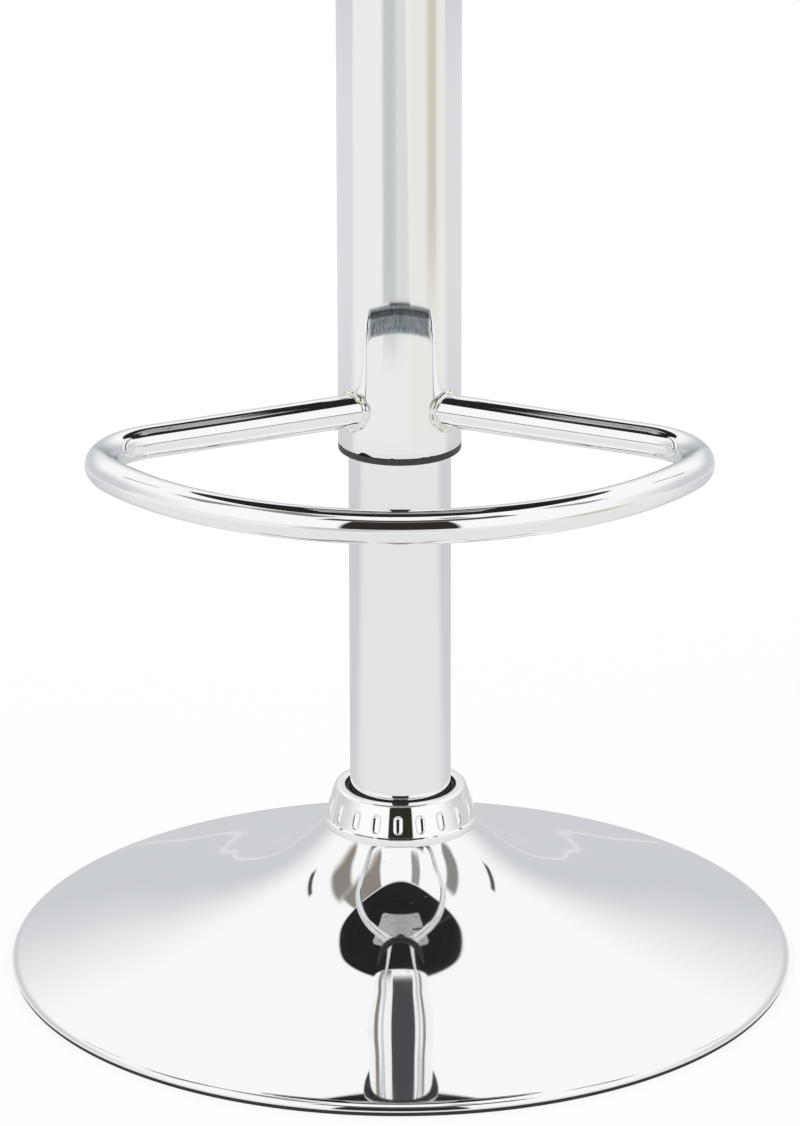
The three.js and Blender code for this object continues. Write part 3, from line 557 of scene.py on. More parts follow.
baseChrome = makeChrome("baseChrome", smear=0.035, pits=0.8, waviness=0.0)
tubeChrome = makeChrome("tubeChrome", smear=0.05, pits=0.4, waviness=0.0)
railChrome = makeChrome("railChrome", smear=0.03, pits=0.3, waviness=0.0)
# the bow's inner side gets a painted reflection
bowReflectionPaint(railChrome, centre=-0.033, inner=0.158, start=-0.085)
castChrome = makeChrome("castChrome", smear=0.03, pits=0.2, waviness=0.6, colour=(0.97, 0.965, 0.955, 1))
bandChrome = makeChrome("bandChrome", smear=0.04)
weldChrome = makeWeldChrome("weldChrome")
blackRubber = makeDull("blackRubber", (0.012, 0.012, 0.012, 1), (0.026, 0.026, 0.026, 1), 60, (0.62, 0.8),
                       (0.3, 900))
blackPlastic = makeDull("blackPlastic", (0.020, 0.020, 0.021, 1), (0.034, 0.034, 0.035, 1), 40,
                        (0.38, 0.52), (0.18, 1500))
blackPaint = makeDull("blackPaint", (0.014, 0.014, 0.015, 1), (0.022, 0.022, 0.023, 1), 30, (0.30, 0.42),
                      (0.22, 650))
brightSteel = makeDull("brightSteel", (0.42, 0.42, 0.43, 1), (0.62, 0.62, 0.63, 1), 80, (0.22, 0.40),
                       (0.12, 1200), 1.0)
plateSteel = makeDull("plateSteel", (0.60, 0.60, 0.60, 1), (0.74, 0.74, 0.73, 1), 60, (0.26, 0.42),
                      (0.15, 900), 1.0)
castIron = makeDull("castIron", (0.045, 0.045, 0.048, 1), (0.09, 0.088, 0.085, 1), 120, (0.6, 0.85),
                    (0.7, 500), 0.6)
blackVinyl = makeVinyl("blackVinyl")
plywood = makePlywood("plywood")
print("materials ready")


# Base shell. Its outer face is given by its slope at each radius, so that the curve stays smooth.
shell = {
    "slopes": [(34.4, 56.0), (38.4, 46.99), (47, 44.12), (56, 39.84), (64, 35.11), (72, 30.27), (80, 26.09),
               (92, 22.1), (103, 18.4), (113, 17.6), (122, 15.9), (132, 14.35), (145, 13.9), (158, 14.8),
               (168, 14.95), (176, 15.05), (181, 15.1), (185, 15.3), (189, 15.8), (191.2, 16.2)],
    "brimHeight": 6.36, "brimRadius": 191.2, "wall": 1.5, "points": 150, "steps": 320,
    "rimWide": 6.0, "rimHigh": 4.26, "rimPoints": 22,  # the rim is a quarter of an ellipse
    "foot": 2.4, "lipWall": 1.7, "lipTop": 3.3, "neckBore": 29.2, "neckRound": 0.8,
}


def slopeAt(radius):
    # smooth curve through the given slopes
    knots = shell["slopes"]
    i = max(0, min(len(knots) - 2, sum(1 for r, s in knots if r <= radius) - 1))

    def tangent(k):
        if k == 0 or k == len(knots) - 1:
            a, b = (0, 1) if k == 0 else (k - 1, k)
            return (knots[b][1] - knots[a][1]) / (knots[b][0] - knots[a][0])
        return (knots[k + 1][1] - knots[k - 1][1]) / (knots[k + 1][0] - knots[k - 1][0])

    (r0, s0), (r1, s1) = knots[i], knots[i + 1]
    span = r1 - r0
    t = (radius - r0) / span
    a = (2 * t ** 3 - 3 * t ** 2 + 1) * s0 + (t ** 3 - 2 * t ** 2 + t) * span * tangent(i)
    b = (-2 * t ** 3 + 3 * t ** 2) * s1 + (t ** 3 - t ** 2) * span * tangent(i + 1)
    return a + b


def trumpetLine():
    # from the brim inwards, adding up the slope
    first, last = shell["slopes"][0][0], shell["brimRadius"]
    count = shell["points"]
    line = [(last, shell["brimHeight"])]
    for i in range(count):
        radius, height = line[-1]
        step = (last - first) / count
        height += step * math.tan(math.radians(slopeAt(radius - step / 2)))
        line.append((radius - step, height))
    return line


trumpet = trumpetLine()


def makeShell():
    edge = reach("base_shell")
    wall = shell["wall"]
    inner = []
    for i, (radius, height) in enumerate(trumpet):
        slope = math.radians(slopeAt(radius))
        if i % 4 == 0 and radius < shell["brimRadius"] - wall:
            inner.append((radius - wall * math.sin(slope), height - wall * math.cos(slope)))
    outline = list(reversed(trumpet))
    across, upright = shell["rimWide"], shell["rimHigh"]
    first = math.asin((shell["brimRadius"] - edge + across) / across)
    for k in range(1, shell["rimPoints"] + 1):
        turn = first + (quarter - first) * k / shell["rimPoints"]
        outline.append((edge - across + across * math.sin(turn), shell["foot"] + upright * math.cos(turn)))
    lip = edge - shell["lipWall"]
    outline += [(lip, shell["foot"]), (lip, shell["lipTop"])] + inner
    neckTop = trumpet[-1][1]
    outline += [(shell["neckBore"], neckTop - wall), (shell["neckBore"], neckTop - shell["neckRound"])]
    outline += [(shell["neckBore"] + shell["neckRound"], neckTop)]
    piece = spun("base_shell_plated", outline, shell["steps"], angle=50)
    give(piece, baseChrome, "base", "chrome", "base_shell")
    print("base shell made, neck at", round(neckTop, 2))


makeShell()


# Rubber ring under the rim, with a lip that stands up inside it
gasket = {"width": 8.4, "thickness": 2.1, "lipRadius": 193.0}


def makeGasket():
    edge, lip = reach("base_gasket"), top("base_gasket")
    inside, thick, lipRadius = edge - gasket["width"], gasket["thickness"], gasket["lipRadius"]
    outline = rounded([(inside, 0, 0.3), (edge, 0, 0.7), (edge, thick, 0.2), (lipRadius, thick, 0),
                       (lipRadius, lip, 0.3), (inside, lip, 0.3)], 3)
    give(spun("base_gasket_ring", outline, 240), blackRubber, "base", "rubber", "base_gasket")


makeGasket()


# Collar: spun, then twenty oblong recesses pressed into its cone
collar = {
    "bottomRadius": 38.4, "topRadius": 32.3, "band": 3.5, "bandStep": 0.9, "wall": 1.2, "hole": 27.4,
    "lip": 5, "steps": 240, "recesses": 20, "recessWidth": 4.8, "recessHeight": 9.6,
    "recessDepth": 0.8, "recessRise": 10.2, "turn": -2,
    "sealBore": 25.3, "sealRadius": 27.1, "sealHeight": 6.8,
}


def makeCollar():
    low, high = bottom("collar_ring"), top("collar_ring")
    wide, narrow = collar["bottomRadius"], collar["topRadius"]
    cone = wide - collar["bandStep"]
    bandTop = low + collar["band"]
    wall = collar["wall"]
    outline = rounded([
        (wide, low, 0.25), (wide, bandTop, 0.5), (cone, bandTop + 0.7, 0.4),
        (narrow, high, 1.9), (collar["hole"], high, 1.0), (collar["hole"], high - collar["lip"], 0.2),
        (narrow - wall, high - collar["lip"], 0.2), (cone - wall, bandTop, 0.2),
        (wide - wall, low + 0.6, 0.1),
    ], 6)
    piece = spun("collar_ring_plated", outline, collar["steps"])
    lean = math.atan2(cone - narrow, high - bandTop)
    middle = low + collar["recessRise"]
    face = cone + (narrow - cone) * (middle - bandTop) / (high - bandTop)
    half = collar["recessWidth"] / 2
    straight = collar["recessHeight"] / 2 - half
    # one cutter: an upright capsule, flattened to the depth of the recess
    deselectAll()
    bpy.ops.mesh.primitive_uv_sphere_add(segments=40, ring_count=24, radius=half * mm)
    cutter = bpy.context.object
    bpy.ops.object.mode_set(mode="EDIT")
    bpy.ops.mesh.select_all(action="DESELECT")
    bpy.ops.object.mode_set(mode="OBJECT")
    for corner in cutter.data.vertices:
        corner.co.z += straight * mm * (1 if corner.co.z > 0 else -1 if corner.co.z < 0 else 0)
        corner.co.x *= (collar["recessDepth"] + 0.35) / half
    cutter.rotation_euler = (0, -lean, 0)
    cutter.location = ((face + 0.2) * mm, 0, middle * mm)
    settle(cutter)
    cutters = []
    for i in range(collar["recesses"]):
        copy = copyOf(cutter)
        angle = 2 * math.pi * i / collar["recesses"] + math.radians(collar["turn"]) - quarter
        copy.data.transform(Matrix.Rotation(angle, 4, "Z"))
        cutters.append(copy)
    bpy.data.objects.remove(cutter)
    combine(piece, joined(cutters), "DIFFERENCE")
    smooth(piece, 28)
    give(piece, castChrome, "base", "chrome", "collar_ring")
    bore, outer, high = collar["sealBore"], collar["sealRadius"], top("collar_seal")
    low = high - collar["sealHeight"]
    seal = rounded([(bore, low, 0), (outer, low, 0), (outer, high, 0.5), (bore, high, 0.5)], 4)
    give(spun("collar_seal_ring", seal, 160), blackRubber, "base", "rubber", "collar_seal")
    print("collar made")


makeCollar()


# Column, sleeve and the black plastic pieces at its ends
def makeTube(name, node, bore, material, body, endRound=0.35):
    outer, low, high = reach(node), bottom(node), top(node)
    keep = endRound + 2.5  # rings close to the ends, so that the wall between them mirrors straight
    outline = rounded([(bore, low, 0), (outer, low, endRound), (outer, low + keep, 0),
                       (outer, high - keep, 0), (outer, high, endRound), (bore, high, 0)], 4)
    return give(spun(name, outline, 200), material, body, "chrome", node)


makeTube("column_tube_plated", "column_tube", 23.5, tubeChrome, "base")

sleeveNicks = [
    # angle from the front, width and height in millimetres
    (-36, 3.0, 1.5), (-30, 1.8, 0.7), (-7, 1.0, 0.35), (22, 1.2, 0.25), (31, 0.8, 0.3), (-70, 1.5, 0.3),
]
sleeveEnds = {"plug": 28.2, "bushBore": 25.3, "bushFlange": 3.3, "capBore": 14.3, "capFlange": 2.6}


def makeSleeve():
    piece = makeTube("sleeve_tube_plated", "sleeve_tube", 28.5, tubeChrome, "lift", 0.2)
    low = bottom("sleeve_tube") * mm
    radius = reach("sleeve_tube")
    for corner in piece.data.vertices:
        if corner.co.z > low + 0.6 * mm:
            continue
        angle = math.degrees(math.atan2(corner.co.x, -corner.co.y))
        for middle, width, height in sleeveNicks:
            off = math.radians(angle - middle) * radius / width
            if abs(off) < 1:
                corner.co.z += height * mm * (1 - off * off)
    outer, bore, plug = reach("sleeve_bush"), sleeveEnds["bushBore"], sleeveEnds["plug"]
    low, high = bottom("sleeve_bush"), top("sleeve_bush")
    flange = low + sleeveEnds["bushFlange"]
    bush = rounded([(bore, low, 0.4), (outer, low, 0.7), (outer, flange, 0.1), (plug, flange, 0),
                    (plug, high, 0.3), (bore, high, 0.3)], 4)
    give(spun("sleeve_bush_ring", bush, 160), blackPlastic, "lift", "black_plastic", "sleeve_bush")
    low, high, bore = bottom("sleeve_cap"), top("sleeve_cap"), sleeveEnds["capBore"]
    flange = high - sleeveEnds["capFlange"]
    cap = rounded([(bore, low, 0.3), (plug, low, 0.3), (plug, flange, 0), (outer, flange, 0.3),
                   (outer, high, 0.5), (bore, high, 0.3)], 4)
    give(spun("sleeve_cap_ring", cap, 160), blackPlastic, "lift", "black_plastic", "sleeve_cap")
    print("column and sleeve made")


makeSleeve()


# Footrest: one bent tube along two arms, two corners and a bow, welded to the sleeve
rail = {
    "radius": 8, "armCross": 9.0, "armAngle": 26.3, "corner": 36.5, "bow": 160, "reach": 193,
    "rise": 25.2, "root": 20,  # middle of the tube above the bush, start of an arm within the sleeve
    "armPoints": 24, "cornerPoints": 40, "bowPoints": 90, "sides": 13,
}


def railPath():
    height = bottom("sleeve_bush") + rail["rise"]
    angle = math.radians(rail["armAngle"])
    bowMiddle = Vector((0, rail["bow"] - rail["reach"]))
    arm = Vector((math.cos(angle), -math.sin(angle)))
    inward = Vector((-math.sin(angle), -math.cos(angle)))
    start = Vector((0, -rail["armCross"])) + inward * rail["corner"] - bowMiddle
    limit = rail["bow"] - rail["corner"]
    along = start.dot(arm)
    run = -along + math.sqrt(along ** 2 - start.length_squared + limit ** 2)
    corner = start + arm * run + bowMiddle
    toBow = math.atan2(corner.y - bowMiddle.y, corner.x)
    toArm = quarter - angle
    half = [Vector((0, -rail["armCross"])) + arm * rail["root"]]
    armEnd = corner + Vector((math.cos(toArm), math.sin(toArm))) * rail["corner"]
    for k in range(1, rail["armPoints"] + 1):
        half.append(half[0].lerp(armEnd, k / rail["armPoints"]))
    for k in range(1, rail["cornerPoints"] + 1):
        turn = toArm + (toBow - toArm) * k / rail["cornerPoints"]
        half.append(corner + Vector((math.cos(turn), math.sin(turn))) * rail["corner"])
    for k in range(1, rail["bowPoints"] // 2 + 1):
        turn = toBow + (-quarter - toBow) * k / (rail["bowPoints"] // 2)
        half.append(bowMiddle + Vector((math.cos(turn), math.sin(turn))) * rail["bow"])
    other = [Vector((-p.x, p.y)) for p in reversed(half[:-1])]
    return [Vector((p.x, p.y, height)) * mm for p in half + other]


def tubeAlong(name, points, radius, sides, cyclic=False, radii=None):
    line = bpy.data.curves.new(name, "CURVE")
    line.dimensions = "3D"
    line.bevel_depth = radius * mm
    line.bevel_resolution = sides
    line.use_fill_caps = not cyclic
    spline = line.splines.new("POLY")
    spline.points.add(len(points) - 1)
    for i, point in enumerate(points):
        spline.points[i].co = (*point, 1)
        spline.points[i].radius = radii[i] if radii else 1
    spline.use_cyclic_u = cyclic
    piece = bpy.data.objects.new(name, line)
    bpy.context.scene.collection.objects.link(piece)
    pick(piece)
    bpy.ops.object.convert(target="MESH")
    return bpy.context.object


# Bead where an arm meets the sleeve: it follows the seam and swells from ripple to ripple
weld = {"points": 120, "ripples": 11, "size": 1.55, "drip": 2.6}


def makeWeld(side):
    height = bottom("sleeve_bush") + rail["rise"]
    angle = math.radians(rail["armAngle"])
    out = Vector((side * math.cos(angle), -math.sin(angle), 0))
    across = Vector((side * math.sin(angle), math.cos(angle), 0))
    origin = Vector((0, -rail["armCross"], height))
    sleeveRadius = reach("sleeve_tube") + 0.25
    points, radii = [], []
    for k in range(weld["points"]):
        turn = 2 * math.pi * k / weld["points"]
        offset = across * (rail["radius"] * math.cos(turn)) + Vector((0, 0, rail["radius"] * math.sin(turn)))
        base = origin + offset
        a, b = Vector((out.x, out.y)), Vector((base.x, base.y))
        along = -a.dot(b) + math.sqrt(max(0, a.dot(b) ** 2 - b.length_squared + sleeveRadius ** 2))
        point = base + out * along
        wobble = noise.noise(Vector((math.cos(turn) * 2.6 + 9 * side, math.sin(turn) * 2.6, side)))
        outward = (offset.normalized() * 0.35 + out * 0.25) * (1 + 0.7 * wobble)
        points.append((point + outward) * mm)
        ripple = 1 + 0.05 * math.sin(turn * weld["ripples"]) + 0.38 * wobble
        sag = weld["drip"] * math.exp(-((turn - 1.5 * math.pi) / 0.5) ** 2) * 0.25
        radii.append(max(0.6, ripple + sag))
    bead = tubeAlong("weld_bead_" + ("right" if side > 0 else "left"), points, weld["size"], 5, True, radii)
    smooth(bead, 60)
    give(bead, weldChrome, "lift", "chrome")


def makeRail():
    piece = tubeAlong("footrest_tube", railPath(), rail["radius"], rail["sides"])
    smooth(piece, 50)
    saddle = addRod(reach("sleeve_tube") + 0.15, 80, (0, 0, bottom("footrest")), (0, 0, 1), 200)
    combine(piece, saddle, "DIFFERENCE")
    smooth(piece, 40)
    give(piece, railChrome, "lift", "chrome", "footrest")
    for side in (-1, 1):
        makeWeld(side)
    print("footrest made")


makeRail()


# Seat band: chromed strip with three ribs and a flange turned in below
band = {"wall": 1, "rib": 1.4, "ribs": 3, "flange": 6, "steps": 320}


def makeBand():
    low, high, wide = bottom("seat_band"), top("seat_band"), reach("seat_band")
    narrow = wide - band["rib"]
    inside = narrow - band["wall"]
    pitch = (high - low) / band["ribs"]
    corners = [(wide - band["flange"], low, 0.3)]
    for i in range(band["ribs"]):
        start = low + i * pitch
        corners += [(narrow, start, 1.0), (wide, start + pitch * 0.33, 2.2),
                    (wide, start + pitch * 0.67, 2.2)]
    corners += [(narrow, high, 0.4), (inside, high, 0.3), (inside, low + band["wall"], 0.6),
                (wide - band["flange"], low + band["wall"], 0.3)]
    piece = spun("seat_band_plated", rounded(corners, 6), band["steps"])
    give(piece, bandChrome, "lift", "chrome", "seat_band")


makeBand()


# Piping: a cord wrapped in vinyl, drawn in a little where it is sewn
piping = {"radius": 3, "steps": 320, "sides": 28}


def makePiping():
    middle = reach("seat_piping") - piping["radius"]
    height = top("seat_piping") - piping["radius"]
    ring = []
    for k in range(piping["sides"]):
        turn = 2 * math.pi * (k + 0.5) / piping["sides"]
        ring.append((middle + piping["radius"] * math.cos(turn), height + piping["radius"] * math.sin(turn)))
    piece = spun("seat_piping_cord", ring, piping["steps"], angle=60)
    for corner in piece.data.vertices:
        angle = math.atan2(corner.co.y, corner.co.x)
        pull = 0.10 * mm * noise.noise(Vector((math.cos(angle) * 14, math.sin(angle) * 14, 3)))
        corner.co.z += min(0, pull)
    give(piece, blackVinyl, "lift", "black_vinyl", "seat_piping")


makePiping()


# Cushion: foam under vinyl, filled out by the cloth simulation, then sewn round the top
cushion = {
    "voxel": 5, "pressure": 4, "frames": 20, "cap": 7, "heldRise": 9, "steps": 112, "fill": 0.85,
    "seamInset": 42, "seamDepth": 1.7, "seamWidth": 2.4,
    "puckers": 68, "puckerDepth": 0.55, "gathers": 86, "gatherDepth": 0.6, "gatherInset": 27,
    "stitches": 226, "stitchLength": 3.4, "stitchThickness": 0.42,
    "stitchTurn": (2, 7), "stitchLift": 0.15, "seamSwell": 11, "gatherHeight": 7,
}


def cushionOutline():
    low, high = bottom("seat_cushion"), top("seat_cushion")
    bandTop = top("seat_band")
    inside = reach("seat_band") - band["rib"] - band["wall"] - 0.6
    waist = reach("seat_piping") - piping["radius"] * 2 - 0.5
    wide = reach("seat_cushion")
    start = top("seat_piping")
    rise = high - start
    outline = [(0, low), (inside, low), (inside, bandTop - 4), (waist, bandTop - 0.5), (waist, start)]
    shoulder = [(0.60, 0.13), (0.80, 0.36), (0.64, 0.56)]
    outline += [(waist + (wide - waist) * out, start + rise * up) for out, up in shoulder]
    crown = [(0.945, 0.66), (0.86, 0.72), (0.68, 0.76), (0.42, 0.78), (0, 0.78)]
    outline += [(wide * out, start + rise * up) for out, up in crown]
    return outline


def fillOut(piece):
    # the vinyl is held inside the band and at the piping, and swells above it
    remesh = piece.modifiers.new("evenMesh", "REMESH")
    remesh.mode = "VOXEL"
    remesh.voxel_size = cushion["voxel"] * mm
    applyAll(piece)
    start = [corner.co.copy() for corner in piece.data.vertices]
    held = piece.vertex_groups.new(name="held")
    limit = (top("seat_band") + cushion["heldRise"]) * mm
    held.add([i for i, place in enumerate(start) if place.z < limit], 1.0, "REPLACE")
    cloth = piece.modifiers.new("fill", "CLOTH")
    cloth.settings.vertex_group_mass = "held"
    cloth.settings.use_pressure = True
    cloth.settings.uniform_pressure_force = cushion["pressure"]
    cloth.settings.effector_weights.gravity = 0
    cloth.point_cache.frame_start = 1
    cloth.point_cache.frame_end = cushion["frames"]
    for frameNumber in range(1, cushion["frames"] + 1):
        bpy.context.scene.frame_set(frameNumber)
    applyAll(piece)
    bpy.context.scene.frame_set(1)
    cap = cushion["cap"] * mm
    for corner, place in zip(piece.data.vertices, start):
        push = corner.co - place
        corner.co = place + push * (cap / (cap + push.length))
    piece.vertex_groups.clear()


def sewCushion(piece):
    # a seam round the top with small puckers, and gathers where the vinyl goes under the piping
    waistTop = top("seat_piping") * mm
    seam = reach("seat_cushion") - cushion["seamInset"]
    gathered = reach("seat_cushion") - cushion["gatherInset"]
    for corner in piece.data.vertices:
        place = corner.co
        if place.z < waistTop - 2 * mm:
            continue
        radius = math.hypot(place.x, place.y) / mm
        angle = math.atan2(place.y, place.x)
        ring = Vector((math.cos(angle) * 9, math.sin(angle) * 9, 0))
        off = radius - seam
        groove = math.exp(-(off / cushion["seamWidth"]) ** 2)
        swell = math.exp(-(off / cushion["seamSwell"]) ** 2) - groove
        uneven = 0.6 + 0.8 * noise.noise(ring)
        pucker = math.sin(angle * cushion["puckers"] + 5 * noise.noise(ring * 0.7)) * uneven
        place.z -= cushion["seamDepth"] * groove * mm
        place.z += cushion["puckerDepth"] * max(0, swell) * pucker * mm
        low = math.exp(-max(0, place.z - waistTop) / (cushion["gatherHeight"] * mm))
        if radius > gathered and low > 0.02:
            gather = math.sin(angle * cushion["gathers"] + 6 * noise.noise(ring * 0.5 + Vector((0, 0, 4))))
            inward = cushion["gatherDepth"] * low * gather * uneven * mm
            place.x -= math.cos(angle) * inward
            place.y -= math.sin(angle) * inward


def makeStitches(piece):
    # one stitch, copied round the seam and laid on the vinyl
    seam = (reach("seat_cushion") - cushion["seamInset"]) * mm
    deselectAll()
    bpy.ops.mesh.primitive_uv_sphere_add(segments=8, ring_count=6, radius=0.5 * mm)
    stitch = bpy.context.object
    stitch.scale = (cushion["stitchThickness"] * 2, cushion["stitchLength"], cushion["stitchThickness"] * 2)
    settle(stitch)
    copies = []
    for i in range(cushion["stitches"]):
        angle = 2 * math.pi * i / cushion["stitches"]
        above = Vector((seam * math.cos(angle), seam * math.sin(angle), 1))
        vinyl = piece.ray_cast(above, Vector((0, 0, -1)))[1]
        copy = copyOf(stitch)
        copy.rotation_euler = (0, 0, angle + math.radians(random.uniform(*cushion["stitchTurn"])))
        copy.location = (above.x, above.y, vinyl.z + cushion["stitchLift"] * mm)
        copies.append(copy)
    bpy.data.objects.remove(stitch)
    row = joined(copies)
    row.name = "seat_cushion_stitches"
    smooth(row, 60)
    give(row, blackThread, "lift", "black_vinyl")


def makeCushion():
    outline = cushionOutline()
    piece = spun("seat_cushion_cover", outline, cushion["steps"], closed=False)
    fillOut(piece)
    swell = piece.modifiers.new("finer", "SUBSURF")
    swell.levels = 1
    swell.render_levels = 1
    applyAll(piece)
    sewCushion(piece)
    pick(piece)
    bpy.ops.object.shade_smooth()
    give(piece, blackVinyl, "lift", "black_vinyl", "seat_cushion")
    makeStitches(piece)
    print("cushion made")


blackThread = makeDull("blackThread", (0.016, 0.016, 0.017, 1), (0.034, 0.034, 0.036, 1), 900, (0.5, 0.7),
                       (0.4, 5200))
makeCushion()


# Dust cover under the board: thin black sheet with two pressed rings
cover = {"rings": (148, 180), "ringWidth": 5, "ringDepth": 1.1, "hole": 40}


def makeCover():
    low, high, wide = bottom("dust_cover"), top("dust_cover"), reach("dust_cover")
    hole, half, deep = cover["hole"], cover["ringWidth"] / 2, cover["ringDepth"]
    faces = []
    for height in (low, high):
        face = [(hole, height, 0.2)]
        for middle in cover["rings"]:
            face += [(middle - half - 1, height, 0.6), (middle - half, height - deep, 0.6),
                     (middle + half, height - deep, 0.6), (middle + half + 1, height, 0.6)]
        faces.append(face + [(wide, height, 0.2)])
    corners = faces[0] + faces[1][::-1]
    piece = spun("dust_cover_sheet", rounded(corners, 3), 200)
    give(piece, coverPlastic, "lift", "black_plastic", "dust_cover")


coverPlastic = makeDull("coverPlastic", (0.007, 0.008, 0.010, 1), (0.013, 0.014, 0.017, 1), 25, (0.5, 0.66),
                        (0.55, 900))
coverPlastic.node_tree.nodes["Principled BSDF"].inputs["Specular IOR Level"].default_value = 0.2
makeCover()


# Seat plate: square rim with pressed ribs, a tub, a hub for the taper and two ears for the lever pin,
# with the lever's sizes, because plate and lever share the pin
lever = {
    "radius": 4, "tip": 5, "bend": 46, "run": 30, "drop": 16, "reach": 186, "boss": 6, "bossWidth": 9.4,
    "pinBore": 2.8, "pivot": 28, "edge": 0.4, "bendSteps": 24, "bendGap": 4,
}
plate = {
    "width": 160, "corner": 12, "wall": 2.5, "tub": 36, "hubBore": 14.3, "hubWall": 3.7, "hubHeight": 20,
    "ear": (24, 32), "earSides": (5.0, 7.5), "edge": 0.5, "ribStart": 45, "ribEnd": 75, "ribRadius": 5.5,
    "ribProud": 2.2, "ribSink": 0.6, "slot": 6, "holeCross": 62, "holeRadius": 3.3,
}


def pinHeight():
    return (bottom("lever_pin") + top("lever_pin")) / 2


def makePlate():
    low, high = bottom("seat_plate"), top("seat_plate")
    rimLow = high - plate["wall"]
    half = plate["width"] / 2
    piece = addBox("seat_plate_pressed", (-half, -half, rimLow), (half, half, high), 0)
    bpy.ops.object.mode_set(mode="EDIT")
    bpy.ops.mesh.select_mode(type="EDGE")  # or the vertices would select the flat edges too
    bpy.ops.mesh.select_all(action="DESELECT")
    bpy.ops.object.mode_set(mode="OBJECT")
    for edge in piece.data.edges:
        a, b = (piece.data.vertices[i].co for i in edge.vertices)
        edge.select = abs(a.z - b.z) > mm
    bpy.ops.object.mode_set(mode="EDIT")
    bpy.ops.mesh.bevel(offset=plate["corner"] * mm, segments=10)
    bpy.ops.mesh.select_mode(type="VERT")
    bpy.ops.object.mode_set(mode="OBJECT")
    for x in (-1, 1):
        for y in (-1, 1):
            deselectAll()
            bpy.ops.mesh.primitive_uv_sphere_add(segments=28, ring_count=16, radius=plate["ribRadius"] * mm)
            rib = bpy.context.object
            stretch = (plate["ribEnd"] - plate["ribStart"]) / 2 - plate["ribRadius"]
            for corner in rib.data.vertices:
                corner.co.x += stretch * mm * (1 if corner.co.x > 1e-9 else -1 if corner.co.x < -1e-9 else 0)
                corner.co.z *= (plate["ribProud"] + plate["ribSink"]) / plate["ribRadius"]
            middle = (plate["ribStart"] + plate["ribEnd"]) / 2 * math.sqrt(0.5)
            rib.rotation_euler = (0, 0, math.atan2(y, x))
            rib.location = (x * middle * mm, y * middle * mm, (rimLow + plate["ribSink"]) * mm)
            settle(rib)
            combine(piece, rib, "UNION")
    combine(piece, addRod(plate["tub"] + 1, 20, (0, 0, high), (0, 0, 1), 96), "DIFFERENCE")
    outer, floor = plate["tub"] + plate["wall"], low + plate["wall"]
    bore, hub = plate["hubBore"], plate["hubBore"] + plate["hubWall"]
    tub = spun("tub", rounded([
        (bore, low, 0.4), (outer, low, 4), (outer, high, 0.5), (plate["tub"], high, 0.5),
        (plate["tub"], floor, 2.2), (hub, floor, 1.2), (hub, floor + plate["hubHeight"], 0.5),
        (bore, floor + plate["hubHeight"], 0.5)], 6), 96)
    combine(piece, tub, "UNION")
    height = pinHeight()
    near, far = plate["earSides"]
    for side in (-1, 1):
        sides = sorted((side * near, side * far))
        ear = addBox("ear", (plate["ear"][0], sides[0], floor - 1), (plate["ear"][1], sides[1], height + 4),
                     plate["edge"])
        combine(piece, ear, "UNION")
    pin = addRod(lever["pinBore"], 40, (lever["pivot"], 0, height), (0, 1, 0), 32)
    combine(piece, pin, "DIFFERENCE")
    reachOut = plate["tub"] + plate["wall"] * 2
    slot = addBox("slot", (plate["tub"] - 2.5, -plate["slot"], height - plate["slot"]),
                  (reachOut, plate["slot"], height + plate["slot"]), 1.0)
    combine(piece, slot, "DIFFERENCE")
    cross = plate["holeCross"]
    for x, y in ((-cross, -cross), (-cross, cross), (cross, -cross), (cross, cross)):
        combine(piece, addRod(plate["holeRadius"], 20, (x, y, high), (0, 0, 1), 32), "DIFFERENCE")
    smooth(piece, 35)
    give(piece, plateSteel, "lift", "steel", "seat_plate")
    print("seat plate made")


makePlate()


# Height lever and its grip
grip = {"length": 56, "radius": 7, "rings": 8, "ringDepth": 0.7, "collar": 8, "bore": 4.3, "end": 4}


def makeLever():
    height = pinHeight()
    low = height - lever["drop"]
    before, after = lever["bend"] - lever["bendGap"], lever["bend"] + lever["run"] + lever["bendGap"]
    points = [Vector((-lever["tip"], 0, height)), Vector((before, 0, height))]
    for k in range(lever["bendSteps"] + 1):
        t = k / lever["bendSteps"]
        x = lever["bend"] + lever["run"] * t
        s = t * t * (3 - 2 * t)
        points.append(Vector((x, 0, height + (low - height) * s)))
    points += [Vector((after, 0, low)), Vector((lever["reach"], 0, low))]
    bar = tubeAlong("height_lever_bar", [p * mm for p in points], lever["radius"], 9)
    smooth(bar, 50)
    boss = addRod(lever["boss"], lever["bossWidth"], (lever["pivot"], 0, height), (0, 1, 0), 48)
    combine(bar, boss, "UNION")
    combine(bar, addRod(lever["pinBore"], 30, (lever["pivot"], 0, height), (0, 1, 0), 32), "DIFFERENCE")
    roundEdges(bar, lever["edge"], 2, 50)
    smooth(bar, 40)
    give(bar, blackPaint, "lever", "black_steel", "height_lever")
    makeGrip(low)


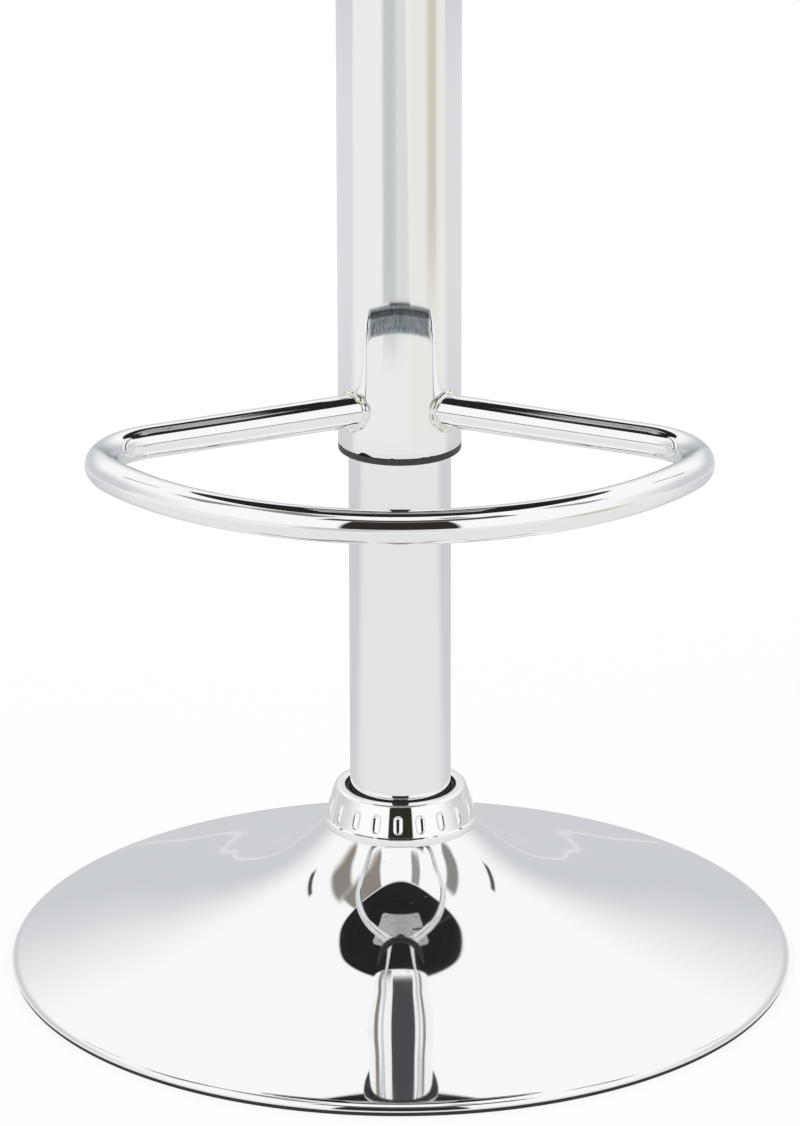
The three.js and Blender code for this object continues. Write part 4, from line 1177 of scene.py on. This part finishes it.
def makeGrip(height):
    length, wide = grip["length"], grip["radius"]
    corners = [(0, length, 0), (wide - 0.8, length, 2.2), (wide, length - 5, 1.5)]
    first, last = length - 9, grip["collar"] + 2
    pitch = (first - last) / grip["rings"]
    for i in range(grip["rings"]):
        start = first - i * pitch
        corners += [(wide, start, 0.5), (wide - grip["ringDepth"], start - 0.9, 0.4),
                    (wide - grip["ringDepth"], start - 1.9, 0.4), (wide, start - 2.8, 0.5)]
    corners += [(wide, last, 0.8), (wide - 1.0, 3, 1.0), (wide - 0.4, 0, 0.8), (grip["bore"], 0, 0.4),
                (grip["bore"], length - grip["end"], 0), (0, length - grip["end"], 0)]
    piece = spun("lever_grip_sleeve", rounded(corners, 4), 72, closed=False, angle=45)
    piece.rotation_euler = (0, quarter, 0)
    piece.location = (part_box("lever_grip")[0].x, 0, height * mm)
    give(piece, gripRubber, "lever", "black_plastic", "lever_grip")
    print("lever made")


gripRubber = makeDull("gripPlastic", (0.018, 0.018, 0.019, 1), (0.030, 0.030, 0.031, 1), 50, (0.42, 0.58),
                      (0.25, 1800))
makeLever()


# Seat bolts, modelled once: a hex head with a chamfered face and a washer face, then the shank
boltHead = {"face": 5.8, "height": 4.2, "shank": 3, "chamfer": 0.7}


def makeSeatBolts():
    low, high = bottom("seat_bolt_1"), top("seat_bolt_1")
    face, headTop = boltHead["face"], low + boltHead["height"]
    head = spun("head", [(0, low), (face * 0.80, low), (face, low + boltHead["chamfer"]),
                         (face, headTop - 0.5), (face * 0.9, headTop), (0, headTop)],
                6, closed=False, angle=20)
    shank = spun("shank", rounded([(0, headTop - 1, 0), (boltHead["shank"], headTop - 1, 0),
                                   (boltHead["shank"], high, 0.5), (0, high, 0)], 3), 32, closed=False)
    head = joined([head, shank])
    for i, (x, y) in enumerate(squareOrder()):
        bolt = copyOf(head)
        bolt.name = "seat_bolt_hex_" + str(i + 1)
        bolt.rotation_euler = (0, 0, random.uniform(0, 1))
        bolt.location = (x, y, 0)
        give(bolt, brightSteel, "lift", "steel", "seat_bolt_" + str(i + 1))
    bpy.data.objects.remove(head)


def squareOrder():
    places = []
    for i in range(4):
        low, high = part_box("seat_bolt_" + str(i + 1))
        places.append(((low.x + high.x) / 2, (low.y + high.y) / 2))
    return places


makeSeatBolts()
print("seat bolts made")


# Hidden and plain pieces keep their own shape and get their finish
finishes = {
    "steel": brightSteel, "black_steel": blackPaint, "cast_iron": castIron, "rubber": blackRubber,
    "black_plastic": blackPlastic, "black_vinyl": blackVinyl, "plywood": plywood, "chrome": bandChrome,
}
for entry in frame["record"]["subparts"]:
    node = frame["nodes"][entry["node"]]
    node.data.materials.clear()
    node.data.materials.append(finishes[entry["material_slot"]])
print("kept nodes finished")
